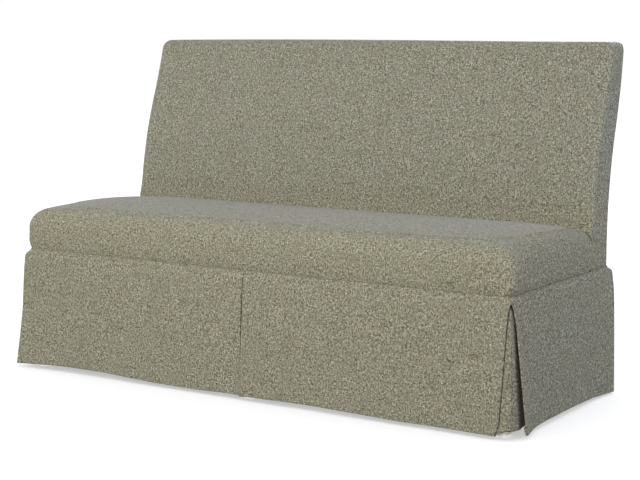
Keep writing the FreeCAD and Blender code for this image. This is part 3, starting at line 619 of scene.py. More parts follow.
@dataclass
class Finishes:
    """Every finish of the banquette, by material slot."""

    made: dict[Slot, bpy.types.Material] = field(default_factory=dict)

    def build(self) -> None:
        """Builds the materials."""
        wood = (420.0, 420.0, 26.0)
        finishes = {
            Slot.TWEED: Tweed(),
            # Painted shade: the skirt's copy of the tweed is a little darker and bluer than the seat's,
            # standing in for the shade on the skirt.
            Slot.SKIRT_TWEED: Tweed(name="skirt_tweed_painted_shade", tint=(0.465, 0.466, 0.473)),
            Slot.HARDWOOD: Speckled("sanded_hardwood", (0.72, 0.68, 0.60), (0.62, 0.57, 0.48), wood, 0.7),
            Slot.DOWEL: Speckled("beech_dowel", (0.62, 0.45, 0.28), (0.48, 0.33, 0.19), wood, 0.6),
            Slot.STEEL: Speckled(
                "zinc_plated_steel", (0.62, 0.62, 0.60), (0.45, 0.45, 0.44), roughness=0.4, metallic=1.0
            ),
            Slot.SPRING: Speckled(
                "oiled_spring_wire", (0.16, 0.16, 0.17), (0.07, 0.07, 0.08), roughness=0.45, metallic=1.0
            ),
            Slot.GLIDE: Speckled("moulded_glide", (0.78, 0.78, 0.76), (0.70, 0.70, 0.68), roughness=0.7),
            Slot.FOAM: Speckled("cut_foam", (0.80, 0.76, 0.60), (0.66, 0.61, 0.45), (700.0,) * 3, 0.95),
            Slot.WRAP: Speckled("fibre_wrap", (0.86, 0.86, 0.84), (0.70, 0.70, 0.68), (220.0,) * 3, 0.95),
            Slot.FELT: Speckled("pressed_felt", (0.34, 0.32, 0.30), (0.16, 0.15, 0.16), (500.0,) * 3, 0.95),
            Slot.JUTE: Woven("jute", (0.46, 0.34, 0.19), (0.27, 0.19, 0.10), 3.0),
            Slot.BOARD: Speckled("grey_board", (0.42, 0.38, 0.33), (0.33, 0.29, 0.25), (300.0,) * 3),
            Slot.LINING: Woven("skirt_lining", (0.46, 0.44, 0.38), (0.34, 0.32, 0.27), 0.9),
            Slot.DUST_CLOTH: Woven("black_cambric", (0.035, 0.035, 0.036), (0.016, 0.016, 0.017), 1.1),
        }
        self.made = {slot: finish.build() for slot, finish in finishes.items()}

    def dress_frame(self) -> None:
        """Gives every node of the frame the finish of its slot."""
        for part in frame["record"]["subparts"]:
            obj = frame["nodes"][part["node"]]
            for slot in obj.material_slots:
                slot.material = self.made[Slot(part["material_slot"])]

    def dress(self, obj: bpy.types.Object, slot: Slot, nodes: list[str]) -> None:
        """Finishes a new piece and says which nodes of the frame it stands for.

        Args:
            obj: The piece.
            slot: Its material slot.
            nodes: The nodes that it replaces.
        """
        obj.data.materials.append(self.made[slot])
        if slot in (Slot.TWEED, Slot.SKIRT_TWEED):
            mark_upward(obj.data)
        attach(obj, BODY)
        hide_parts(*nodes)
        log.info("piece %s stands for %s", obj.name, ", ".join(nodes))


@dataclass(frozen=True)
class Rake:
    """A back profile: upright to a start, an arc that leans back to a turn, then an arc that straightens."""

    start: float
    turn: float
    lean: float
    top_lean: float
    height: float
    foot: float = 0.0

    def y(self, z: Number) -> Array:
        """The profile's Y at some heights: two circle arcs that meet at the turn with one tangent.

        Args:
            z: The heights.

        Returns:
            Y at each height.
        """
        lean = math.radians(self.lean)
        lower = (self.turn - self.start) / math.sin(lean)
        upper = (self.height - self.turn) / (math.sin(lean) - math.sin(math.radians(self.top_lean)))
        run = np.clip(z - self.start, 0.0, self.turn - self.start)
        sine = math.sin(lean) - np.maximum(z - self.turn, 0.0) / upper
        rise = upper * (np.cos(np.arcsin(sine)) - math.cos(lean))
        return self.foot + lower - np.sqrt(lower**2 - run**2) + rise

    def through(self, y: float, z: float) -> "Rake":
        """The same profile, moved so that it passes through a point."""
        return replace(self, foot=self.foot + y - float(self.y(z)))


@dataclass(frozen=True)
class Hood:
    """A U-shaped outline, open at one end, that a cover follows: two sides, two round corners, a near edge.

    The outline is in two coordinates: x across, and p from the open end towards the near edge. The points of
    a side crowd together towards its two ends.
    """

    side_steps: int
    arc_steps: int
    near_steps: int
    crowding: float = 0.8

    def shares(self) -> tuple[Array, Array, Array, Array]:
        """How each point of the outline depends on its size.

        Returns:
            The shares of the half-width and of the radius in x, and of the straight side and of the radius
            in p.
        """
        side = np.linspace(0.0, 1.0, self.side_steps + 1)
        side = side - self.crowding * np.sin(2.0 * math.pi * side) / (2.0 * math.pi)
        angle = np.linspace(0.0, math.pi / 2, self.arc_steps + 2)[1:-1]
        near = np.linspace(-1.0, 1.0, self.near_steps + 1)
        ones = np.ones
        half = np.concatenate([-ones(side.size), -ones(angle.size), near, ones(angle.size), ones(side.size)])
        bend = 1.0 - np.cos(angle)
        corner = np.concatenate([0 * side, bend, -near, -bend[::-1], 0 * side])
        straight = np.concatenate([side, ones(2 * angle.size + near.size), side[::-1]])
        rise = np.sin(angle)
        lift = np.concatenate([0 * side, rise, ones(near.size), rise[::-1], 0 * side])
        return half, corner, straight, lift

    def outline(self, half: Array, near: Array, open_end: float, radius: Array) -> tuple[Array, Array]:
        """Outlines of many sizes at once.

        Args:
            half: Half-widths, one for each row.
            near: The near edge's p, one for each row.
            open_end: The open end's p.
            radius: Corner radii, one for each row.

        Returns:
            x and p, arrays of rows by points.
        """
        half_share, corner, straight, lift = self.shares()
        x = half[:, None] * half_share + radius[:, None] * corner
        p = open_end + straight * (near - radius - open_end)[:, None] + radius[:, None] * lift
        return x, p

    def face(self, x: Array, p: Array, open_end: float, rows: int, share: float) -> tuple[Array, Array]:
        """Rows that fill the face inside one outline: straight lines from it to the middle of the open end.

        Args:
            x: The outline's x.
            p: The outline's p.
            open_end: The open end's p.
            rows: How many rows.
            share: The share of the open end's width that the last row covers.

        Returns:
            x and p, arrays of rows by points.
        """
        run = np.concatenate([[0.0], np.cumsum(np.hypot(np.diff(x), np.diff(p)))])
        last = share * x[-1] * (2.0 * run / run[-1] - 1.0)
        t = np.linspace(0.0, 1.0, rows + 1)[1:, None]
        t = 0.5 * t + 0.25 * (1.0 - np.cos(math.pi * t))
        return (1.0 - t) * x + t * last, (1.0 - t) * p + t * open_end

    def corner_angles(self) -> Array:
        """Each point's angle round a corner from the near edge: 0 there, and a right angle on the sides.

        Returns:
            The angles.
        """
        angle = np.linspace(0.0, math.pi / 2, self.arc_steps + 2)[1:-1]
        side = np.full(self.side_steps + 1, math.pi / 2)
        near = np.zeros(self.near_steps + 1)
        return np.concatenate([side, angle[::-1], near, angle, side])


@dataclass(frozen=True)
class Filling:
    """Soft filling that swells a cover: cloth under pressure, held at its seams."""

    pressure: float = 4.0
    cloth_weight: float = 0.3
    quality: int = 4
    frames: int = 20
    start_inset: float = 4.0
    most: float = 3.0
    least: float = -0.6
    coarse: int = 3

    def swell(self, name: str, points: Array, held: Array, inside: Array) -> Array:
        """Blows a cover out from inside and lets it settle, and keeps the swelling within limits.

        Args:
            name: Name for the cloth while it settles.
            points: The cover's grid.
            held: How firmly each point is held, 0 to 1, of the grid's shape.
            inside: A point inside the cover.

        Returns:
            The swollen grid. Each point has moved along its normal only.
        """
        normals = outward_normals(points, inside)
        rows, columns = (self.picked(length) for length in points.shape[:2])
        pick = np.ix_(rows, columns)
        start = points[pick] - normals[pick] * (self.start_inset * (1.0 - held[pick]))[..., None]
        settled = self.settle(name, start, held[pick], inside)
        coarse_rise = np.sum((settled - points[pick]) * normals[pick], axis=2)
        rise = self.refine(coarse_rise, rows, columns, points.shape[:2])
        soft = self.most * np.tanh(np.maximum(rise, 0.0) / self.most) + np.clip(rise, self.least, 0.0)
        return points + normals * (soft * (1.0 - held))[..., None]

    def picked(self, length: int) -> Array:
        """The rows or columns of a grid that its coarse cloth keeps, always with the last."""
        return np.unique(np.append(np.arange(0, length, self.coarse), length - 1))

    def refine(self, values: Array, rows: Array, columns: Array, shape: tuple[int, int]) -> Array:
        """Values on picked rows and columns, spread to the whole grid by straight lines between them.

        Args:
            values: Values on the picked grid.
            rows: The picked rows.
            columns: The picked columns.
            shape: The whole grid's shape.

        Returns:
            Values on the whole grid.
        """
        for axis, picked in enumerate((rows, columns)):
            every = np.arange(shape[axis])
            below = np.clip(np.searchsorted(picked, every, side="right") - 1, 0, picked.size - 2)
            share = (every - picked[below]) / (picked[below + 1] - picked[below])
            share = share[:, None] if axis == 0 else share[None, :]
            values = np.take(values, below, axis) * (1.0 - share) + np.take(values, below + 1, axis) * share
        return values

    def settle(self, name: str, start: Array, held: Array, inside: Array) -> Array:
        """Runs the cloth for its frames and reads where it ends.

        Args:
            name: Name for the cloth.
            start: The grid that it starts from.
            held: How firmly each point is held.
            inside: A point inside the cover.

        Returns:
            The grid after the last frame.
        """
        scene = bpy.context.scene
        obj = grid_object(name, start, inside, start[..., :2])
        group = obj.vertex_groups.new(name="held")
        levels = np.round(held.ravel(), 1)
        for level in np.unique(levels[levels > 0.0]):
            group.add(np.flatnonzero(levels == level).tolist(), float(level), "REPLACE")
        modifier = obj.modifiers.new("cloth", "CLOTH")
        settings = modifier.settings
        settings.quality = self.quality
        settings.mass = self.cloth_weight
        settings.vertex_group_mass = "held"
        settings.use_pressure = True
        settings.uniform_pressure_force = self.pressure
        settings.effector_weights.gravity = 0.0
        modifier.collision_settings.use_collision = False
        modifier.point_cache.frame_start = 1
        modifier.point_cache.frame_end = self.frames
        for number in range(1, self.frames + 1):
            scene.frame_set(number)
        swollen = obj.evaluated_get(bpy.context.evaluated_depsgraph_get()).data
        place = np.empty(start.size, dtype=np.float32)
        swollen.vertices.foreach_get("co", place)
        mesh = obj.data
        bpy.data.objects.remove(obj)
        bpy.data.meshes.remove(mesh)
        scene.frame_set(1)
        return place.reshape(start.shape).astype(float) / MM


@dataclass(frozen=True)
class FibreLayer:
    """The soft fibre wrap under a cover, shaped like the cover."""

    name: str
    node: str
    depth: float
    thickness: float

    def build(self, cover: Array, inside: Array, finishes: Finishes) -> bpy.types.Object:
        """Builds and dresses the layer: every second point of the cover's grid, moved in by the depth.

        Args:
            cover: The cover's grid.
            inside: A point inside the cover.
            finishes: The banquette's finishes.

        Returns:
            The layer.
        """
        points = (cover - outward_normals(cover, inside) * self.depth)[::2, ::2]
        obj = grid_object(self.name, points, inside, points[..., :2])
        thicken(obj, self.thickness)
        finishes.dress(obj, Slot.WRAP, [self.node])
        return obj


@dataclass
class SeatCover:
    """The tight padded seat: a wall that swells out over the skirt, a soft edge, a low crown and darts."""

    seam_height: float = 352.0
    crown_height: float = 485.0
    crown_reach: float = 10.0
    front_drop: float = 9.0
    rear_drop: float = 16.0
    bulge: float = 8.0
    crease: float = 1.6
    bulge_share: float = 0.74
    bulge_power: float = 2.2
    end_drop: float = 9.0
    end_length: float = 230.0
    edge_round: float = 50.0
    corner_radius: float = 27.0
    seam_radius: float = 13.0
    radius_share: float = 0.8
    top_radius: float = 4.0
    hidden: float = 16.0
    below_rows: tuple[float, ...] = (-1.0, -0.4)
    inside_drop: float = 40.0
    tuck: float = 16.0
    tuck_length: float = 16.0
    tuck_back: float = 0.26
    tuck_fade: float = 34.0
    seam_hold: float = 0.12
    rear_hold_length: float = 18.0
    swell: float = 3.2
    thickness: float = 1.8
    wrap_thickness: float = 5.0
    wrap_depth: float = 4.4
    wrap_start: float = 20.0
    dart_depth: float = 2.2
    dart_width: float = 1.7
    dart_ridges: tuple[float, float] = (3.0, 9.0)
    ridge_widths: tuple[float, float] = (19.0, 12.0)
    ridge_rise: float = 30.0
    dart_height: float = 75.0
    dart_fade: float = 25.0
    dart_start: float = 3.0
    dart_lean: float = 0.22
    dart_offset: float = 1.0
    pucker: float = 0.35
    pucker_width: float = 9.0
    pucker_pitch: float = 9.5
    wall_height: float = 65.0
    wall_rows: int = 30
    edge_rows: int = 26
    top_rows: int = 46
    top_share: float = 0.66
    hood: Hood = Hood(side_steps=84, arc_steps=34, near_steps=170)
    half: float = field(init=False)
    front: float = field(init=False)
    open_end: float = field(init=False)

    def __post_init__(self) -> None:
        """Reads the seat's half-width, front and rear end from the frame."""
        low, high = node_box("seat_cover")
        self.half = high[0]
        self.front = -low[1]
        self.open_end = -high[1]

    def build(self, finishes: Finishes) -> list[bpy.types.Object]:
        """Builds and dresses the seat.

        Args:
            finishes: The banquette's finishes.

        Returns:
            The seat's cover and the wrap under it.
        """
        points, rows_held = self.surface(self.open_end, self.tuck)
        inside = np.array([0.0, 0.0, self.seam_height - self.inside_drop])
        held = np.maximum(rows_held[:, None], self.rear_hold(points))
        points = Filling(most=self.swell).swell("seat_filling", points, held, inside)
        points = self.sew_darts(points, inside)
        obj = self.mesh(points, inside)
        thicken(obj, self.thickness)
        finishes.dress(obj, Slot.TWEED, ["seat_cover"])
        layer = FibreLayer("seat_fibre_wrap", "seat_wrap", self.wrap_depth, self.wrap_thickness)
        under, _ = self.surface(self.open_end + self.wrap_start, 0.0)
        return [obj, layer.build(under, inside, finishes)]

    def crown(self, y: Array) -> Array:
        """The top's height along the depth: a circle arc through the front edge, the crown and the rear edge.

        Args:
            y: Places along the depth.

        Returns:
            The heights there.
        """
        reach = self.crown_reach
        ys = np.array([-self.front - reach, (-self.front - self.open_end) / 2, -self.open_end + reach])
        zs = self.crown_height - np.array([self.front_drop, 0.0, self.rear_drop])
        system = np.stack([2 * ys, 2 * zs, np.ones(3)], axis=1)
        middle_y, middle_z, rest = np.linalg.solve(system, ys**2 + zs**2)
        radius = math.sqrt(rest + middle_y**2 + middle_z**2)
        return middle_z + np.sqrt(radius**2 - (y - middle_y) ** 2)

    def surface(self, open_end: float, tuck: float) -> tuple[Array, Array]:
        """The cover's grid, from below the seam up the wall, over the edge and across the top.

        Wall rows stand out by the bulge as 1 - (1 - t)^2.2; edge rows turn a quarter circle; the corner
        radius grows from the seam to the edge. Near the open end the sides turn in as (1 - u)³, and a
        share of that goes back to the back's cover.

        Args:
            open_end: The rear end, as a distance in front of the middle.
            tuck: How far the sides turn in at the rear end.

        Returns:
            The grid, and how firmly each row is held.
        """
        wall = np.linspace(0.0, 1.0, self.wall_rows)
        turn = np.linspace(0.0, math.pi / 2, self.edge_rows + 1)[1:]
        below = np.array(self.below_rows)
        share = np.concatenate([below, wall, np.ones(turn.size)])
        up = np.clip(share, 0.0, 1.0)
        swell = 1.0 - (1.0 - np.minimum(up / self.bulge_share, 1.0)) ** self.bulge_power
        out = (self.bulge + self.crease) * (swell - 1.0)
        inset = np.concatenate([np.zeros(below.size + wall.size), self.edge_round * (1.0 - np.cos(turn))])
        radius = self.seam_radius + (self.corner_radius - self.seam_radius) * smooth(up / self.radius_share)
        radius = radius - (self.corner_radius - self.top_radius) * inset / self.edge_round
        x, p = self.hood.outline(self.half + out - inset, self.front + out - inset, open_end, radius)
        face_x, face_p = self.hood.face(x[-1], p[-1], open_end, self.top_rows, self.top_share)
        start = self.crown(-p) - self.end_fall(x) - self.edge_round
        rise = self.seam_height + up[:, None] * (start - self.seam_height)
        rise[: below.size] += self.hidden * below[:, None]
        drop = np.concatenate([np.zeros(below.size + wall.size), np.sin(turn)])
        z = rise + self.edge_round * drop[:, None]
        fade = np.clip(1.0 - inset / self.tuck_fade, 0.0, 1.0)[:, None]
        from_end = np.clip((p - open_end) / self.tuck_length, 0.0, 1.0)
        turned_in = tuck * (1.0 - from_end) ** 3 * fade
        x = np.concatenate([x - np.sign(x) * turned_in, face_x])
        y = -np.concatenate([p - self.tuck_back * turned_in, face_p])
        z = np.concatenate([z, self.crown(-face_p) - self.end_fall(face_x)])
        free = np.zeros(turn.size + self.top_rows)
        held = np.concatenate([np.ones(below.size + 1), 1.0 - smooth(wall[1:] / self.seam_hold), free])
        return np.stack([x, y, z], axis=2), held

    def end_fall(self, x: Array) -> Array:
        """How far the top falls towards the seat's two ends: a square law over the last stretch."""
        start = self.half - self.end_length
        return self.end_drop * np.clip((np.abs(x) - start) / self.end_length, 0.0, 1.0) ** 2

    def rear_hold(self, points: Array) -> Array:
        """How firmly the cover is held near the back, where it is pulled through."""
        from_end = -points[..., 1] - self.open_end
        return 1.0 - smooth(from_end / self.rear_hold_length)

    def from_dart(self, points: Array) -> Array:
        """Each point's distance round its front corner from the dart.

        The dart climbs from the end of the corner's round at the seam and leans back along the side.

        Args:
            points: The cover's grid.

        Returns:
            The distances, below 0 in front of the dart and above 0 behind it.
        """
        climb = np.maximum(points[..., 2] - self.seam_height, 0.0)
        radius = self.seam_radius + (self.corner_radius - self.seam_radius) * smooth(climb / self.wall_height)
        angles = self.hood.corner_angles()
        behind = points[..., 1] - points[:, [self.hood.side_steps], 1]
        along_side = np.where(angles >= math.pi / 2, np.maximum(behind, 0.0), 0.0)
        return (angles - math.pi / 2) * radius + along_side - self.dart_lean * climb + self.dart_offset

    def sew_darts(self, points: Array, inside: Array) -> Array:
        """Sews a dart into each front corner, with small puckers beside it.

        The seam turned in behind a dart lifts the cloth into a ridge, exp(-d / w) at a distance d from the
        dart. The ridge is wider in front of the dart than behind it, and fuller at the right corner, as in
        the photograph. The stitches sink a narrow Gaussian groove along its top, and the puckers are a
        cosine along it.

        Args:
            points: The cover's grid.
            inside: A point inside the cover.

        Returns:
            The grid with its darts.
        """
        away = self.from_dart(points)
        climb = points[..., 2] - self.seam_height
        fade = smooth((climb + self.dart_start) / (2.0 * self.dart_start))
        fade = fade * (1.0 - smooth((climb - self.dart_height) / self.dart_fade))
        fade = fade * (self.hood.corner_angles() > 0.0)
        height = np.where(points[..., 0] < 0.0, *self.dart_ridges) * smooth(climb / self.ridge_rise)
        ridge = height * np.exp(-np.abs(away) / np.where(away < 0.0, *self.ridge_widths))
        groove = self.dart_depth * np.exp(-((away / self.dart_width) ** 2))
        ripple = np.cos(2.0 * math.pi * climb / self.pucker_pitch)
        pucker = self.pucker * np.exp(-((away / self.pucker_width) ** 2)) * ripple
        lift = (ridge - groove - pucker) * fade
        return points + outward_normals(points, inside) * lift[..., None]

    def mesh(self, points: Array, inside: Array) -> bpy.types.Object:
        """The cover as a mesh.

        Its cloth runs from the top down the front and down each side, and is parted at the darts.

        Args:
            points: The cover's grid.
            inside: A point inside the cover.

        Returns:
            The object.
        """
        rows, columns = points.shape[:2]
        quads = grid_quads(rows, columns, not facing_out(points, inside))
        x, y, z = (points[..., axis] for axis in range(3))
        fall = np.maximum(self.crown(y) - self.end_fall(x) - z, 0.0)
        turned = smooth(fall / self.edge_round)
        run = np.cumsum(np.hypot(np.gradient(x, axis=1), np.gradient(y, axis=1)), axis=1)
        run = run - run[:, [columns // 2]]
        front_cloth = np.stack([x + (run - x) * turned, y - (self.front + y) * turned - fall], axis=2)
        side_cloth = np.stack([x + np.sign(x) * fall, y * SIDE_GRAIN], axis=2)
        on_side = self.from_dart(points).ravel()[quads].mean(axis=1) > 0.0
        front_cloth, side_cloth = (cloth.reshape(-1, 2)[quads] for cloth in (front_cloth, side_cloth))
        cloth = np.where(on_side[:, None, None], side_cloth, front_cloth)
        return mesh_object("seat_upholstery", points.reshape(-1, 3), quads, cloth * MM)


@dataclass(frozen=True)
class Rows:
    """How many rows a cover of the back has along its wall, round its edge and over its face."""

    wall: int
    edge: int
    face: int


@dataclass
class BackCovers:
    """The raked back: a padded inside cover over front, top and sides, and a flat outside cover behind."""

    seat_height: float = 485.0
    back_thickness: float = 110.0
    side_fill: float = 4.0
    edge_round: float = 20.0
    corner_radius: float = 28.0
    face_radius: float = 10.0
    face_share: float = 0.72
    rear_round: float = 4.0
    lip: float = 8.0
    hem: float = 24.0
    seam_dip: float = 0.8
    top_fill: float = 2.0
    top_crown: float = 4.0
    crown_centre: float = -250.0
    crown_reach: float = 900.0
    front_bottom: float = 396.0
    skin: float = 6.0
    pressed_share: float = 0.35
    pressed_below: float = 25.0
    pressed_length: float = 60.0
    seat_hold: float = 70.0
    hold_below: float = 10.0
    rear_hold_rows: float = 5.0
    side_margin: float = 10.0
    lip_gap: float = 0.6
    inside_depth: float = 30.0
    swell: float = 2.6
    thickness: float = 1.8
    wrap_thickness: float = 4.5
    wrap_depth: float = 2.2
    wrap_from: int = 20
    middle_height: float = 700.0
    inside_rows: Rows = Rows(18, 14, 64)
    outside_rows: Rows = Rows(6, 8, 56)
    hood: Hood = Hood(side_steps=110, arc_steps=14, near_steps=170)
    half: float = field(init=False)
    top: float = field(init=False)
    bottom: float = field(init=False)
    rear: Rake = field(init=False)
    front: Rake = field(init=False)

    def __post_init__(self) -> None:
        """Reads the back's box from the frame and sets its two profiles in it."""
        low, high = node_box("inside_back_cover")
        self.half = high[0] + self.side_fill
        self.top = high[2]
        self.bottom = low[2]
        rear = Rake(start=420.0, turn=730.0, lean=17.0, top_lean=5.0, height=self.top)
        self.rear = rear.through(node_box("outside_back_cover")[1][1], self.top)
        front = Rake(start=360.0, turn=800.0, lean=20.5, top_lean=14.0, height=self.top)
        at_seat = float(self.rear.y(self.seat_height)) - self.back_thickness
        self.front = front.through(at_seat, self.seat_height)

    def build(self, finishes: Finishes) -> list[bpy.types.Object]:
        """Builds and dresses both covers.

        Args:
            finishes: The banquette's finishes.

        Returns:
            The inside cover, its wrap and the outside cover.
        """
        return [*self.inside_cover(finishes), self.outside_cover(finishes)]

    def turned(self, rows: Rows, edge_round: float) -> tuple[Array, Array, Array]:
        """Wall, edge and face rows of a cover.

        Args:
            rows: How many there are.
            edge_round: The edge's radius.

        Returns:
            Each wall and edge row's inset, and every row's share of the way along the wall and depth past it.
        """
        turn = np.linspace(0.0, math.pi / 2, rows.edge + 1)[1:]
        inset = np.concatenate([np.zeros(rows.wall), edge_round * (1.0 - np.cos(turn))])
        share = np.concatenate([np.linspace(0.0, 1.0, rows.wall), np.ones(rows.edge + rows.face)])
        over = np.full(rows.face, edge_round)
        past = np.concatenate([np.zeros(rows.wall), edge_round * np.sin(turn), over])
        return inset, share[:, None], past[:, None]

    def spread(self, inset: Array, face_rows: int) -> tuple[Array, Array]:
        """The wall rows, the edge rows and the face as seen from the front; the top has a low rounded crown.

        Args:
            inset: The wall and edge rows' insets.
            face_rows: How many rows the face has.

        Returns:
            x and z, arrays of rows by points.
        """
        radius = self.corner_radius - (self.corner_radius - self.face_radius) * inset / inset[-1]
        x, z = self.hood.outline(self.half - inset, self.top - inset, self.bottom, radius)
        face_x, face_z = self.hood.face(x[-1], z[-1], self.bottom, face_rows, self.face_share)
        x = np.concatenate([x, face_x])
        z = np.concatenate([z, face_z])
        share = np.clip((z - self.seat_height) / (self.top - self.seat_height), 0.0, 1.0)
        crown = self.top_fill + self.top_crown * hump(x, self.crown_centre, self.crown_reach)
        return x, z + crown * share**3

    def raised(self, x: Array, z: Array) -> Array:
        """Heights with the lower edge lifted over the seat rails, except on the outer skin of the sides.

        Args:
            x: The points' x.
            z: Their heights.

        Returns:
            The new heights.
        """
        floor = self.front_bottom - self.bottom
        lift = floor * smooth((self.half - np.abs(x)) / self.skin)
        return z + lift * np.clip((self.top - z) / (self.top - self.bottom), 0.0, 1.0)

    def inside_cover(self, finishes: Finishes) -> list[bpy.types.Object]:
        """The inside cover: from the rear seam along the sides and top, round the edge and over the front.

        Below the seat the edge is flattened, so that the seat's sides close against it.

        Args:
            finishes: The banquette's finishes.

        Returns:
            The cover and the wrap under it.
        """
        rows = self.inside_rows
        inset, share, past = self.turned(rows, self.edge_round)
        x, z = self.spread(inset, rows.face)
        z = self.raised(x, z)
        start = self.rear.y(np.minimum(z, self.top)) - self.lip
        face = self.front.y(np.minimum(z, self.top))
        above = smooth((z - self.seat_height + self.pressed_below) / self.pressed_length)
        round_share = self.pressed_share + (1.0 - self.pressed_share) * above
        y = start + share * (face + self.edge_round * round_share - start) - past * round_share
        points = np.stack([x, y, z], axis=2)
        middle_y = float(self.rear.y(self.middle_height)) - self.inside_depth
        inside = np.array([0.0, middle_y, self.middle_height])
        free = np.zeros(rows.edge + rows.face)
        rear_hold = np.concatenate([1.0 - smooth(np.arange(rows.wall) / self.rear_hold_rows), free])[:, None]
        seat_hold = 1.0 - smooth((z - self.seat_height + self.hold_below) / self.seat_hold)
        held = np.maximum(rear_hold, seat_hold)
        points = Filling(most=self.swell).swell("back_filling", points, held, inside)
        depth = np.maximum(y - face, 0.0)
        on_top = smooth((z - self.top + self.corner_radius) / self.corner_radius)
        on_top = on_top * (np.abs(x) < self.half - self.side_margin)
        flat = np.stack([x + np.sign(x) * depth * SIDE_GRAIN * (1.0 - on_top), z + depth * on_top], axis=2)
        obj = grid_object("inside_back_upholstery", points, inside, flat)
        thicken(obj, self.thickness)
        finishes.dress(obj, Slot.TWEED, ["inside_back_cover"])
        layer = FibreLayer("back_fibre_wrap", "back_wrap", self.wrap_depth, self.wrap_thickness)
        return [obj, layer.build(points[self.wrap_from :], inside, finishes)]

    def outside_cover(self, finishes: Finishes) -> bpy.types.Object:
        """The outside cover: a lip on the sides and top, a tight edge and the flat rear.

        Args:
            finishes: The banquette's finishes.

        Returns:
            The cover.
        """
        rows = self.outside_rows
        inset, share, past = self.turned(rows, self.rear_round)
        x, z = self.spread(inset, rows.face)
        face = self.rear.y(np.minimum(z, self.top))
        wall = self.lip - self.rear_round - self.lip_gap
        y = face - self.rear_round - wall * (1.0 - share) + past
        inside = np.array([0.0, float(self.front.y(self.middle_height)), self.middle_height])
        points = np.stack([x, y, z], axis=2)
        dip = np.concatenate([np.linspace(self.seam_dip, 0.0, rows.wall), np.zeros(rows.edge + rows.face)])
        points = points - outward_normals(points, inside) * dip[:, None, None]
        obj = grid_object("outside_back_cloth", points, inside, np.stack([x, z], axis=2))
        thicken(obj, self.thickness)
        finishes.dress(obj, Slot.TWEED, ["outside_back_cover"])
        return obj


@dataclass(frozen=True)
class PanelEnd:
    """How one end of a skirt panel hangs.

    At a corner the end follows the mitre for a while, draws back by the part, and then runs to its place at
    the hem, where its last corner flicks away.
    """

    seam: float
    hem_out: float
    at_corner: bool = True
    kick: float = 0.0
    kick_from: float = 40.0
    kick_power: float = 0.6
    kick_reach: float = 150.0
    pull_drop: float = 12.0
    part: float = 0.0
    flick: float = 0.0


@dataclass(frozen=True)
class SkirtFace:
    """One side of the skirt: its seam's middle, and its outward and along directions in plan."""

    origin: tuple[float, float]
    outward: tuple[float, float]
    along: tuple[float, float]

    def points(self, run: Array, out: Array, z: Array) -> Array:
        """Points on this side.

        Args:
            run: Places along the seam.
            out: Distances out from it.
            z: Heights.

        Returns:
            The points, with x, y and z along the last axis.
        """
        x = self.origin[0] + self.along[0] * run + self.outward[0] * out
        y = self.origin[1] + self.along[1] * run + self.outward[1] * out
        return np.stack([x, y, z + 0.0 * run], axis=-1)

    def behind(self) -> Array:
        """A point well behind this side."""
        return self.points(np.array(0.0), np.array(-400.0), np.array(200.0))

    def grain(self) -> float:
        """How long the weave is along the seam, as a share of its length on the front."""
        return SIDE_GRAIN if self.along[0] == 0.0 else 1.0


@dataclass(frozen=True)
class SkirtPanel:
    """One lined panel of the skirt: a rolled top edge, a flared fall, folded ends and a folded hem.

    A lift of its hem is a centre along the seam, a reach and a height.
    """

    name: str
    face: SkirtFace
    start: PanelEnd
    end: PanelEnd
    lifts: tuple[Triple, ...] = ()
    wave: float = 1.2
    wave_phase: float = 0.0


